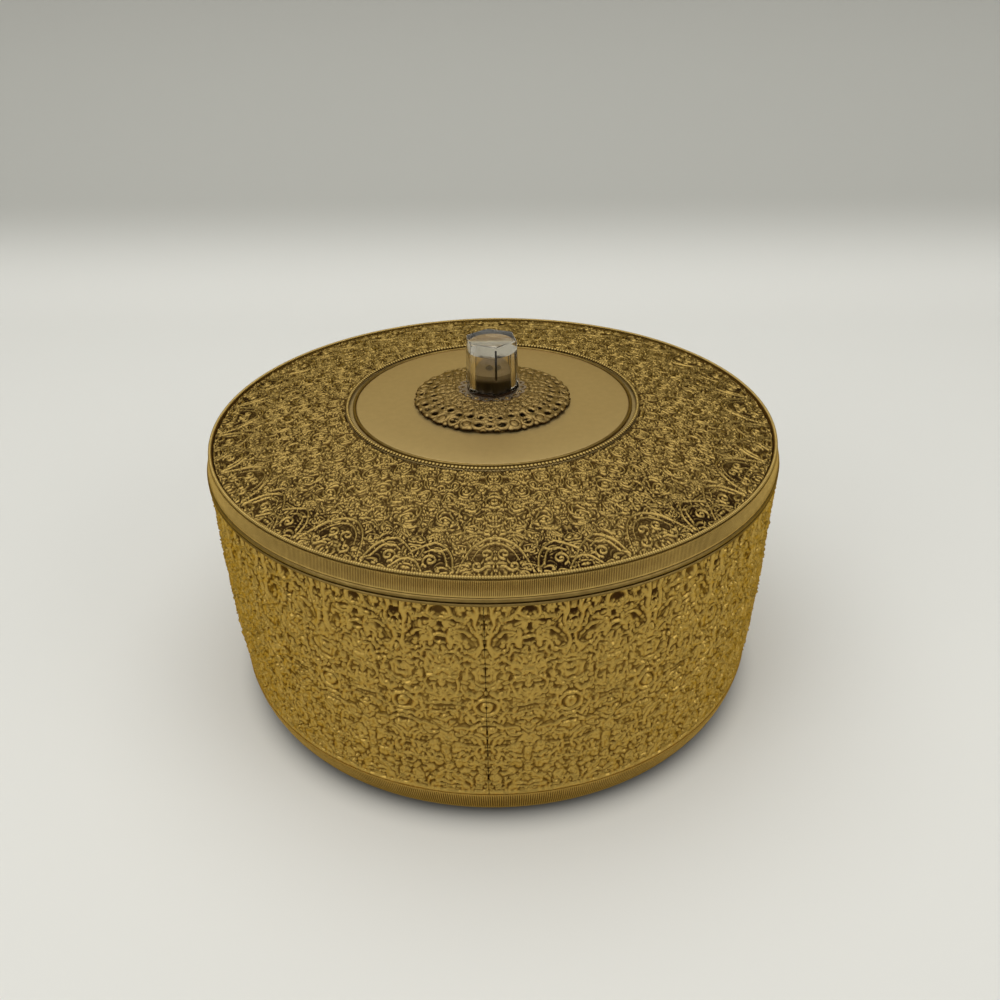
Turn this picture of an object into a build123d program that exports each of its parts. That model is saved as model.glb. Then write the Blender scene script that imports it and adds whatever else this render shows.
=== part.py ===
"""Round gilt vanity box: a filigree-skinned bowl with a shallow cone lid and a clear knob.

Millimetres, +Z up. The origin is on the table, under the centre of the foot.
The seam of the box faces -Y, the side that a person sits in front of.
"""
import os
from math import atan
from math import cos
from math import degrees
from math import radians
from math import sqrt

from build123d import *

# Box half: heights above the table, and distances from its rim
foot_height = 4.0
wrap_bottom = 13.6
wall_turn = 58.0
rim_top = 92.8
wrap_drop = 1.1
collar_depth = 8.8
collar_rise = 4.7

# Box half: radius of the skin, and how far each lower part stands back from the one above it
wall_radius = 103.2
wall_setback = 2.2
band_setback = 3.0
flange_setback = 2.5
flange_width = 9.5
bowl_corner = 8.0

# Box half: sheets, wires and gaps
relief_depth = 1.6
skin_gap = 0.5
bowl_wall = 0.6
band_wall = 0.8
band_flange = 8.0
foot_wall = 0.8
foot_draft = 2.0
foot_corner = 1.2
bead_radius = 0.5
rim_thickness = 0.9
collar_wall = 0.6
collar_inset = 0.7
seam_width = 0.5
strip_width = 8.0
strip_thickness = 0.35
solder_gap = 0.1

# Lid half: heights above the rim of the box, and how far each part stands back from the wall
lid_side_height = 7.2
lip_height = 1.65
lip_gap = 0.2
lip_setback = 0.1
reed_setback = 0.4
reed_flare = 1.0
cone_rise = 7.8
cone_edge_rise = 0.6
cone_crown = 0.4
disc_radius = 49.6
disc_drop = 0.4
ring_groove = 1.3

# Lid half: sheets, wires and gaps
lid_relief_depth = 1.2
shell_wall = 0.6
lid_seat_gap = 0.25
collar_play = 0.4
edge_bead_radius = 0.6
disc_sheet = 0.6
step_ring_width = 1.0
step_ring_height = 1.0
disc_bead_radius = 0.6

# Rosette: a domed washer, pierced and scalloped
rosette_radius = 25.8
rosette_lobes = 18
lobe_radius = 2.6
rosette_sheet = 1.1
rosette_edge_rise = 0.1
rosette_inner_rise = 2.2
rosette_crown = 0.5
outer_eye_radius = 1.5
petal_length = 5.6
petal_width = 2.5
petal_ring_radius = 19.6
inner_eye_radius = 1.2
inner_eye_ring_radius = 14.2
gallery_height = 4.5
gallery_radius = 9.3
gallery_loop_setout = 1.4
gallery_loop_radius = 1.7
gallery_loop_hole = 0.85
gallery_sheet = 0.9

# Knob, its seat and its fixing
knob_bottom_radius = 10.3
knob_taper = 0.75
knob_height = 18.0
knob_turn = 11.3
knob_chamfer = 0.6
knob_ceiling = 4.0
knob_wall = 2.7
seat_setback = 1.3
seat_thickness = 0.8
insert_height = 6.5
insert_play = 0.1
screw_radius = 2.0
screw_play = 0.3
thread_play = 0.05
screw_head_radius = 3.8
screw_head_height = 2.2
washer_radius = 5.5
washer_thickness = 0.8

# Values that follow from the ones above
wrap_top = rim_top - wrap_drop
collar_bottom = rim_top - collar_depth
collar_top = rim_top + collar_rise
wrap_bottom_radius = wall_radius - wall_setback
band_bottom_radius = wrap_bottom_radius - band_setback
foot_flange_radius = band_bottom_radius - flange_setback
foot_radius = foot_flange_radius - flange_width
wall_drop = wall_turn - wrap_bottom
wall_curve = (wall_drop**2 + wall_setback**2) / (2 * wall_setback)
bowl_inset = relief_depth + skin_gap
bowl_floor = foot_height + band_wall
bowl_top = rim_top - rim_thickness
bowl_inner_radius = wall_radius - bowl_inset - bowl_wall
collar_radius = bowl_inner_radius - collar_inset
lid_bottom = rim_top + lid_seat_gap
lid_edge_height = rim_top + lid_side_height
lid_lip_radius = wall_radius - lip_setback
reed_bottom_radius = lid_lip_radius - reed_setback
lid_edge_radius = reed_bottom_radius - reed_flare
reed_height = lid_side_height - lid_seat_gap - lip_height - lip_gap
cone_inner_height = lid_edge_height + cone_rise
disc_height = cone_inner_height - disc_drop
ring_inner_radius = disc_radius + step_ring_width + ring_groove + 2 * disc_bead_radius + solder_gap
skirt_inner_radius = collar_radius + collar_play
skirt_radius = skirt_inner_radius + shell_wall
band_inner_radius = skirt_radius + solder_gap
edge_wire_radius = lid_edge_radius - edge_bead_radius - solder_gap
ring_radius = edge_wire_radius - edge_bead_radius - solder_gap
ring_outer_height = lid_edge_height + cone_edge_rise
shell_centre_top = disc_height - disc_sheet
shell_drop = lid_relief_depth + solder_gap
gallery_top = disc_height + gallery_height
gallery_loop_ring_radius = gallery_radius + gallery_loop_setout
knob_top_radius = knob_bottom_radius - knob_taper
knob_bore = knob_bottom_radius - knob_wall
seat_radius = knob_bottom_radius - seat_setback
knob_foot = gallery_top + seat_thickness
screw_hole = screw_radius + screw_play


def wall_at(height, inset):
    """Radius of the box's side at a height, inset from its outer skin."""
    if height >= wall_turn:
        return wall_radius - inset
    centre = wall_radius - wall_curve
    return centre + sqrt((wall_curve - inset) ** 2 - (wall_turn - height) ** 2)


def cone_at(radius, drop):
    """Height of the lid's crowned cone at a radius, below its outer skin."""
    along = (radius - ring_inner_radius) / (ring_radius - ring_inner_radius)
    chord = cone_inner_height + along * (ring_outer_height - cone_inner_height)
    return chord + 4 * cone_crown * along * (1 - along) - drop


# Inner bowl: the container, pressed from plain sheet
with BuildPart() as inner_bowl:
    outer_low = wall_at(wrap_bottom, bowl_inset)
    outer_mid = wall_at((wrap_bottom + wall_turn) / 2, bowl_inset)
    inner_low = wall_at(wrap_bottom, bowl_inset + bowl_wall)
    inner_mid = wall_at((wrap_bottom + wall_turn) / 2, bowl_inset + bowl_wall)
    corner_rise = wrap_bottom - bowl_floor
    slant = cos(radians(45))
    with BuildSketch(Plane.XZ):
        with BuildLine():
            Line((0, bowl_floor), (outer_low - bowl_corner, bowl_floor))
            ThreePointArc(
                (outer_low - bowl_corner, bowl_floor),
                (outer_low - bowl_corner * (1 - slant), wrap_bottom - corner_rise * slant),
                (outer_low, wrap_bottom),
            )
            ThreePointArc(
                (outer_low, wrap_bottom),
                (outer_mid, (wrap_bottom + wall_turn) / 2),
                (wall_radius - bowl_inset, wall_turn),
            )
            Line((wall_radius - bowl_inset, wall_turn), (wall_radius - bowl_inset, bowl_top))
            Line((wall_radius - bowl_inset, bowl_top), (bowl_inner_radius, bowl_top))
            Line((bowl_inner_radius, bowl_top), (bowl_inner_radius, wall_turn))
            ThreePointArc(
                (bowl_inner_radius, wall_turn),
                (inner_mid, (wrap_bottom + wall_turn) / 2),
                (inner_low, wrap_bottom),
            )
            ThreePointArc(
                (inner_low, wrap_bottom),
                (
                    inner_low - (bowl_corner - bowl_wall) * (1 - slant),
                    wrap_bottom - (corner_rise - bowl_wall) * slant,
                ),
                (inner_low - bowl_corner + bowl_wall, bowl_floor + bowl_wall),
            )
            Line((inner_low - bowl_corner + bowl_wall, bowl_floor + bowl_wall), (0, bowl_floor + bowl_wall))
            Line((0, bowl_floor + bowl_wall), (0, bowl_floor))
        make_face()
    revolve(axis=Axis.Z)

# Filigree wrap: the embossed sheet bent round the bowl, its two ends butted at the seam
with BuildPart() as body_filigree_wrap:
    mid = (wrap_bottom + wall_turn) / 2
    with BuildSketch(Plane.XZ):
        with BuildLine():
            ThreePointArc(
                (wall_at(wrap_bottom, 0), wrap_bottom),
                (wall_at(mid, 0), mid),
                (wall_radius, wall_turn),
            )
            Line((wall_radius, wall_turn), (wall_radius, wrap_top))
            Line((wall_radius, wrap_top), (wall_radius - relief_depth, wrap_top))
            Line((wall_radius - relief_depth, wrap_top), (wall_radius - relief_depth, wall_turn))
            ThreePointArc(
                (wall_radius - relief_depth, wall_turn),
                (wall_at(mid, relief_depth), mid),
                (wall_at(wrap_bottom, relief_depth), wrap_bottom),
            )
            Line((wall_at(wrap_bottom, relief_depth), wrap_bottom), (wall_at(wrap_bottom, 0), wrap_bottom))
        make_face()
    revolve(axis=Axis.Z)
    with Locations((0, -wall_radius, rim_top / 2)):
        Box(seam_width, 8 * relief_depth, 2 * rim_top, mode=Mode.SUBTRACT)

# Seam strip: soldered behind both ends of the wrap
with BuildPart() as seam_strip:
    strip_inset = relief_depth + (skin_gap - strip_thickness) / 2
    strip_angle = degrees(strip_width / wall_radius)
    with BuildSketch(Plane.XZ.rotated((0, 0, -90 - strip_angle / 2))):
        with BuildLine():
            ThreePointArc(
                (wall_at(wrap_bottom, strip_inset), wrap_bottom),
                (wall_at(mid, strip_inset), mid),
                (wall_radius - strip_inset, wall_turn),
            )
            Line((wall_radius - strip_inset, wall_turn), (wall_radius - strip_inset, wrap_top))
            Line(
                (wall_radius - strip_inset, wrap_top),
                (wall_radius - strip_inset - strip_thickness, wrap_top),
            )
            Line(
                (wall_radius - strip_inset - strip_thickness, wrap_top),
                (wall_radius - strip_inset - strip_thickness, wall_turn),
            )
            ThreePointArc(
                (wall_radius - strip_inset - strip_thickness, wall_turn),
                (wall_at(mid, strip_inset + strip_thickness), mid),
                (wall_at(wrap_bottom, strip_inset + strip_thickness), wrap_bottom),
            )
            Line(
                (wall_at(wrap_bottom, strip_inset + strip_thickness), wrap_bottom),
                (wall_at(wrap_bottom, strip_inset), wrap_bottom),
            )
        make_face()
    revolve(axis=Axis.Z, revolution_arc=strip_angle)

# Top bead: a bright wire round the upper edge of the wrap
bead_circle = wall_radius - bead_radius - solder_gap
with BuildPart() as body_top_bead:
    with BuildSketch(Plane.XZ):
        with Locations((bead_circle, rim_top - bead_radius)):
            Circle(bead_radius)
    revolve(axis=Axis.Z)

# Rim ring: closes the gap between bowl and wrap, and is the seat of the lid
with BuildPart() as body_rim_ring:
    with BuildSketch(Plane.XY.offset(rim_top - rim_thickness)):
        Circle(bead_circle - bead_radius - solder_gap)
        Circle(collar_radius + solder_gap, mode=Mode.SUBTRACT)
    extrude(amount=rim_thickness)

# Guide collar: stands up inside the rim and keeps the lid centred
with BuildPart() as lid_guide_collar:
    with BuildSketch(Plane.XY.offset(collar_bottom)):
        Circle(collar_radius)
        Circle(collar_radius - collar_wall, mode=Mode.SUBTRACT)
    extrude(amount=collar_top - collar_bottom)
    chamfer(lid_guide_collar.edges().group_by(Axis.Z)[-1], length=collar_wall / 3)

# Base band: the reeded band that curves in under the wrap, with the flange that the bowl stands on
with BuildPart() as base_reeded_band:
    band_top = wrap_bottom - solder_gap
    band_mid = (band_top + foot_height) / 2
    band_belly = (wrap_bottom_radius + band_bottom_radius) / 2 + band_wall / 2
    with BuildSketch(Plane.XZ):
        with BuildLine():
            ThreePointArc(
                (wrap_bottom_radius, band_top),
                (band_belly, band_mid),
                (band_bottom_radius, foot_height),
            )
            Line((band_bottom_radius, foot_height), (band_bottom_radius - band_flange, foot_height))
            Line(
                (band_bottom_radius - band_flange, foot_height),
                (band_bottom_radius - band_flange, foot_height + band_wall),
            )
            Line(
                (band_bottom_radius - band_flange, foot_height + band_wall),
                (band_bottom_radius - band_wall, foot_height + band_wall),
            )
            ThreePointArc(
                (band_bottom_radius - band_wall, foot_height + band_wall),
                (band_belly - band_wall, band_mid + band_wall / 2),
                (wrap_bottom_radius - band_wall, band_top),
            )
            Line((wrap_bottom_radius - band_wall, band_top), (wrap_bottom_radius, band_top))
        make_face()
    revolve(axis=Axis.Z)

# Base pan: the shallow pressed foot on which the box stands
with BuildPart() as base_pan:
    pan_top = foot_height - foot_wall
    with BuildSketch(Plane.XZ):
        with BuildLine():
            Line((0, 0), (foot_radius - foot_corner, 0))
            Line((foot_radius - foot_corner, 0), (foot_radius, foot_corner))
            Line((foot_radius, foot_corner), (foot_radius + foot_draft, pan_top))
            Line((foot_radius + foot_draft, pan_top), (foot_flange_radius, pan_top))
            Line((foot_flange_radius, pan_top), (foot_flange_radius, foot_height))
            Line(
                (foot_flange_radius, foot_height),
                (foot_radius + foot_draft - foot_wall, foot_height),
            )
            Line(
                (foot_radius + foot_draft - foot_wall, foot_height),
                (foot_radius - foot_corner, foot_wall),
            )
            Line((foot_radius - foot_corner, foot_wall), (0, foot_wall))
            Line((0, foot_wall), (0, 0))
        make_face()
    revolve(axis=Axis.Z)

# Lid shell: a plain pressed cone with a flat centre and a skirt
with BuildPart() as lid_shell:
    top_of_skirt = cone_at(ring_radius, shell_drop)
    cone_mid = (ring_inner_radius + ring_radius) / 2
    with BuildSketch(Plane.XZ):
        with BuildLine():
            Line((screw_hole, shell_centre_top), (disc_radius, shell_centre_top))
            Line(
                (disc_radius, shell_centre_top),
                (ring_inner_radius, cone_at(ring_inner_radius, shell_drop)),
            )
            ThreePointArc(
                (ring_inner_radius, cone_at(ring_inner_radius, shell_drop)),
                (cone_mid, cone_at(cone_mid, shell_drop)),
                (ring_radius, top_of_skirt),
            )
            Line((ring_radius, top_of_skirt), (skirt_radius, top_of_skirt - shell_wall))
            Line((skirt_radius, top_of_skirt - shell_wall), (skirt_radius, lid_bottom))
            Line((skirt_radius, lid_bottom), (skirt_inner_radius, lid_bottom))
            Line(
                (skirt_inner_radius, lid_bottom),
                (skirt_inner_radius, top_of_skirt - 2 * shell_wall),
            )
            Line(
                (skirt_inner_radius, top_of_skirt - 2 * shell_wall),
                (ring_radius - shell_wall, top_of_skirt - shell_wall),
            )
            ThreePointArc(
                (ring_radius - shell_wall, top_of_skirt - shell_wall),
                (cone_mid, cone_at(cone_mid, shell_drop + shell_wall)),
                (ring_inner_radius, cone_at(ring_inner_radius, shell_drop + shell_wall)),
            )
            Line(
                (ring_inner_radius, cone_at(ring_inner_radius, shell_drop + shell_wall)),
                (disc_radius, shell_centre_top - shell_wall),
            )
            Line((disc_radius, shell_centre_top - shell_wall), (screw_hole, shell_centre_top - shell_wall))
            Line((screw_hole, shell_centre_top - shell_wall), (screw_hole, shell_centre_top))
        make_face()
    revolve(axis=Axis.Z)

# Filigree ring: the embossed sheet on the lid's cone
with BuildPart() as lid_filigree_ring:
    with BuildSketch(Plane.XZ):
        with BuildLine():
            ThreePointArc(
                (ring_inner_radius, cone_at(ring_inner_radius, 0)),
                (cone_mid, cone_at(cone_mid, 0)),
                (ring_radius, cone_at(ring_radius, 0)),
            )
            Line(
                (ring_radius, cone_at(ring_radius, 0)),
                (ring_radius, cone_at(ring_radius, lid_relief_depth)),
            )
            ThreePointArc(
                (ring_radius, cone_at(ring_radius, lid_relief_depth)),
                (cone_mid, cone_at(cone_mid, lid_relief_depth)),
                (ring_inner_radius, cone_at(ring_inner_radius, lid_relief_depth)),
            )
            Line(
                (ring_inner_radius, cone_at(ring_inner_radius, lid_relief_depth)),
                (ring_inner_radius, cone_at(ring_inner_radius, 0)),
            )
        make_face()
    revolve(axis=Axis.Z)

# Edge beading: the wire on the cone's outer edge
with BuildPart() as lid_edge_beading:
    with BuildSketch(Plane.XZ):
        with Locations((edge_wire_radius, lid_edge_height + solder_gap + edge_bead_radius)):
            Circle(edge_bead_radius)
    revolve(axis=Axis.Z)

# Reeded band: the lid's side, flared a little towards the lip
with BuildPart() as lid_reeded_band:
    reed_bottom = lid_edge_height - reed_height
    with BuildSketch(Plane.XZ):
        with BuildLine():
            Polyline(
                (band_inner_radius, lid_edge_height),
                (lid_edge_radius, lid_edge_height),
                (reed_bottom_radius, reed_bottom),
                (band_inner_radius, reed_bottom),
                close=True,
            )
        make_face()
    revolve(axis=Axis.Z)

# Rolled lip: the half-round roll under the band, which meets the box
with BuildPart() as lid_rolled_lip:
    lip_flat = lid_lip_radius - lip_height / 2
    with BuildSketch(Plane.XZ):
        with BuildLine():
            Line((band_inner_radius, lid_bottom), (lip_flat, lid_bottom))
            ThreePointArc(
                (lip_flat, lid_bottom),
                (lid_lip_radius, lid_bottom + lip_height / 2),
                (lip_flat, lid_bottom + lip_height),
            )
            Line((lip_flat, lid_bottom + lip_height), (band_inner_radius, lid_bottom + lip_height))
            Line((band_inner_radius, lid_bottom + lip_height), (band_inner_radius, lid_bottom))
        make_face()
    revolve(axis=Axis.Z)

# Plain disc: the satin plate in the lid's centre
with BuildPart() as plain_disc:
    with BuildSketch(Plane.XY.offset(shell_centre_top)):
        Circle(disc_radius - solder_gap)
        Circle(screw_hole, mode=Mode.SUBTRACT)
    extrude(amount=disc_sheet)

# Step ring: the plain inner ring round the disc, with a round top
with BuildPart() as disc_step_ring:
    step_outer = disc_radius + step_ring_width
    step_height = shell_centre_top + step_ring_height
    with BuildSketch(Plane.XZ):
        with BuildLine():
            Line((disc_radius, shell_centre_top), (step_outer, shell_centre_top))
            Line((step_outer, shell_centre_top), (step_outer, step_height - step_ring_width / 2))
            ThreePointArc(
                (step_outer, step_height - step_ring_width / 2),
                (disc_radius + step_ring_width / 2, step_height),
                (disc_radius, step_height - step_ring_width / 2),
            )
            Line((disc_radius, step_height - step_ring_width / 2), (disc_radius, shell_centre_top))
        make_face()
    revolve(axis=Axis.Z)

# Bead ring: the beaded ring between the step ring and the filigree
with BuildPart() as disc_bead_ring:
    with BuildSketch(Plane.XZ):
        with Locations((
            ring_inner_radius - disc_bead_radius - solder_gap,
            shell_centre_top + disc_bead_radius + solder_gap,
        )):
            Circle(disc_bead_radius)
    revolve(axis=Axis.Z)

# Rosette: a pierced, scalloped washer, pressed into a shallow dome
with BuildPart() as rosette:
    edge_low = disc_height + rosette_edge_rise
    inner_low_height = edge_low + rosette_inner_rise
    inner_edge = gallery_radius + solder_gap
    dome_mid = (rosette_radius + lobe_radius + inner_edge) / 2
    with BuildSketch(Plane.XY.offset(disc_height)):
        Circle(rosette_radius)
        with PolarLocations(rosette_radius, rosette_lobes):
            Circle(lobe_radius)
        Circle(inner_edge, mode=Mode.SUBTRACT)
        with PolarLocations(rosette_radius, rosette_lobes):
            Circle(outer_eye_radius, mode=Mode.SUBTRACT)
        with PolarLocations(petal_ring_radius, rosette_lobes, start_angle=180 / rosette_lobes):
            SlotOverall(petal_length, petal_width, mode=Mode.SUBTRACT)
        with PolarLocations(inner_eye_ring_radius, rosette_lobes):
            Circle(inner_eye_radius, mode=Mode.SUBTRACT)
    extrude(amount=gallery_height)
    with BuildSketch(Plane.XZ):
        with BuildLine():
            ThreePointArc(
                (rosette_radius + 2 * lobe_radius, edge_low),
                (dome_mid, (edge_low + inner_low_height) / 2 + rosette_crown),
                (inner_edge / 2, inner_low_height),
            )
            Line((inner_edge / 2, inner_low_height), (inner_edge / 2, inner_low_height + rosette_sheet))
            ThreePointArc(
                (inner_edge / 2, inner_low_height + rosette_sheet),
                (dome_mid, (edge_low + inner_low_height) / 2 + rosette_crown + rosette_sheet),
                (rosette_radius + 2 * lobe_radius, edge_low + rosette_sheet),
            )
            Line(
                (rosette_radius + 2 * lobe_radius, edge_low + rosette_sheet),
                (rosette_radius + 2 * lobe_radius, edge_low),
            )
        make_face()
    revolve(axis=Axis.Z, mode=Mode.INTERSECT)

# Gallery: the raised collar of the rosette, with a ring of small loops round the knob's foot
with BuildPart() as rosette_collar:
    with BuildSketch(Plane.XY.offset(disc_height)):
        Circle(gallery_radius)
        Circle(screw_hole, mode=Mode.SUBTRACT)
    extrude(amount=gallery_height)
    with BuildSketch(Plane.XY.offset(gallery_top - gallery_sheet)):
        Circle(gallery_loop_ring_radius)
        with PolarLocations(gallery_loop_ring_radius, rosette_lobes):
            Circle(gallery_loop_radius)
        with PolarLocations(gallery_loop_ring_radius, rosette_lobes):
            Circle(gallery_loop_hole, mode=Mode.SUBTRACT)
        Circle(gallery_radius, mode=Mode.SUBTRACT)
    extrude(amount=gallery_sheet)

# Knob seat: a dark washer between the gallery and the knob
with BuildPart() as knob_seat:
    with BuildSketch(Plane.XY.offset(gallery_top)):
        Circle(seat_radius)
        Circle(screw_hole, mode=Mode.SUBTRACT)
    extrude(amount=seat_thickness)

# Knob: a clear hexagonal prism with a slight draft and a round hollow
with BuildPart() as knob:
    knob_draft = degrees(atan((knob_bottom_radius - knob_top_radius) * cos(radians(30)) / knob_height))
    with BuildSketch(Plane.XY.offset(knob_foot)):
        RegularPolygon(knob_bottom_radius, 6, rotation=knob_turn - 90)
    extrude(amount=knob_height, taper=knob_draft)
    chamfer(knob.edges().group_by(Axis.Z)[-1], length=knob_chamfer)
    with BuildSketch(Plane.XY.offset(knob_foot)):
        Circle(knob_bore)
    extrude(amount=knob_height - knob_ceiling, mode=Mode.SUBTRACT)

# Insert: the threaded metal plug in the knob's hollow
with BuildPart() as knob_insert:
    with BuildSketch(Plane.XY.offset(knob_foot)):
        Circle(knob_bore - insert_play)
        Circle(screw_radius + thread_play, mode=Mode.SUBTRACT)
    extrude(amount=insert_height)

# Screw washer: spreads the screw's pull under the lid
shell_underside = shell_centre_top - shell_wall
with BuildPart() as screw_washer:
    with BuildSketch(Plane.XY.offset(shell_underside - washer_thickness)):
        Circle(washer_radius)
        Circle(screw_hole, mode=Mode.SUBTRACT)
    extrude(amount=washer_thickness)

# Knob screw: up through the lid into the insert, with a rounded head
with BuildPart() as knob_screw:
    head_top = shell_underside - washer_thickness
    with BuildSketch(Plane.XZ):
        with BuildLine():
            Line((0, head_top - screw_head_height), (screw_radius, head_top - screw_head_height))
            ThreePointArc(
                (screw_radius, head_top - screw_head_height),
                (
                    screw_radius + (screw_head_radius - screw_radius) * slant,
                    head_top - screw_head_height * slant,
                ),
                (screw_head_radius, head_top),
            )
            Line((screw_head_radius, head_top), (screw_radius, head_top))
            Line((screw_radius, head_top), (screw_radius, knob_foot + insert_height - screw_play))
            Line(
                (screw_radius, knob_foot + insert_height - screw_play),
                (0, knob_foot + insert_height - screw_play),
            )
            Line((0, knob_foot + insert_height - screw_play), (0, head_top - screw_head_height))
        make_face()
    revolve(axis=Axis.Z)

pieces = {
    "inner_bowl": inner_bowl,
    "body_filigree_wrap": body_filigree_wrap,
    "seam_strip": seam_strip,
    "body_top_bead": body_top_bead,
    "body_rim_ring": body_rim_ring,
    "lid_guide_collar": lid_guide_collar,
    "base_reeded_band": base_reeded_band,
    "base_pan": base_pan,
    "lid_shell": lid_shell,
    "lid_filigree_ring": lid_filigree_ring,
    "lid_edge_beading": lid_edge_beading,
    "lid_reeded_band": lid_reeded_band,
    "lid_rolled_lip": lid_rolled_lip,
    "plain_disc": plain_disc,
    "disc_step_ring": disc_step_ring,
    "disc_bead_ring": disc_bead_ring,
    "rosette": rosette,
    "rosette_collar": rosette_collar,
    "knob_seat": knob_seat,
    "knob": knob,
    "knob_insert": knob_insert,
    "screw_washer": screw_washer,
    "knob_screw": knob_screw,
}

os.makedirs("parts", exist_ok=True)
for piece_name, piece in pieces.items():
    piece.part.label = piece_name
    export_step(piece.part, f"parts/{piece_name}.step")
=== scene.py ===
"""Looks of the round gilt vanity box: filigree skins, reeded bands, beading, rosette and clear knob.

Lengths in the classes are millimetres, as on a maker's drawing, and become metres in the meshes.
"""

import logging
import math
from dataclasses import dataclass
from enum import Enum
from typing import Callable

import bpy
import numpy as np
from mathutils import Matrix, Vector

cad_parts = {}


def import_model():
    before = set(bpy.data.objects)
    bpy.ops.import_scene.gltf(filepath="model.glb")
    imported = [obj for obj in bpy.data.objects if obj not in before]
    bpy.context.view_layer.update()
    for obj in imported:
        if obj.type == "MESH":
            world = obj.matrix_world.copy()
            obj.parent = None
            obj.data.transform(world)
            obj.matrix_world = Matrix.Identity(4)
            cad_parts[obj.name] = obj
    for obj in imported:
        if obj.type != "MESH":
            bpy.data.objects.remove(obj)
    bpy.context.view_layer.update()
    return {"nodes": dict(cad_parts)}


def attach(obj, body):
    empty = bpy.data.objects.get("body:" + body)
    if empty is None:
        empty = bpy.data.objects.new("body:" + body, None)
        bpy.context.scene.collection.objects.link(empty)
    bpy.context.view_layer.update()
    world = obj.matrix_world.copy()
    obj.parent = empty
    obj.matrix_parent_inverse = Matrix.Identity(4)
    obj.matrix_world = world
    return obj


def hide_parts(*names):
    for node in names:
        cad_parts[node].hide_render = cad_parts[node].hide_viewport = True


LOG = logging.getLogger("vanity_box")
MM = 0.001
TORUS_LIMIT = 256
RGB = tuple[float, float, float]
Pair = tuple[float, float]
GILT_EDGE_TINT = (0.8, 0.55, 0.24, 1)


class Body(Enum):
    """The two bodies of the frame."""

    BOX = "box"
    LID = "lid"


class Hand(Enum):
    """The way that a scroll winds."""

    LEFT = 1.0
    RIGHT = -1.0


class Along(Enum):
    """The coordinate that the darkening follows."""

    HEIGHT = "height"
    RADIUS = "radius"


# Scrollwork drawn on a flat patch


@dataclass(frozen=True)
class Stroke:
    """How scrolls are cut: pitch of their turns in millimetres, and shares for the rest."""

    pitch_share: float
    least_pitch: float
    most_pitch: float
    fullness: float
    crease: float
    dome: float
    moat: float
    moat_reach: float
    crease_width: float = 0.3
    hoop: float = 0.0
    base: float = 0.0
    warp: float = 0.0
    swirl: float = 0.0
    squash: float = 1.0
    overlap: float = 0.0
    tilt: float = 0.0


PLUMP = Stroke(
    pitch_share=0.6, least_pitch=1.5, most_pitch=2.3, fullness=0.5, crease=0.6, crease_width=0.26,
    dome=0.35, base=0.1, warp=0.9, swirl=0.3, squash=0.7, moat=0.6, moat_reach=1.9, overlap=0.75, tilt=0.6,
)
WIRY = Stroke(
    pitch_share=0.42, least_pitch=1.1, most_pitch=1.5, fullness=1.2, crease=0.5, crease_width=0.24,
    dome=0.3, hoop=0.7, base=0.03, warp=0.6, swirl=0.25, squash=0.8, moat=0.75, moat_reach=2.5,
    overlap=0.25, tilt=0.3,
)
OPEN = Stroke(
    pitch_share=0.5, least_pitch=1.5, most_pitch=2.0, fullness=1.0, crease=0.2, dome=0.2, moat=0.8,
    moat_reach=2.7,
)


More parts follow.
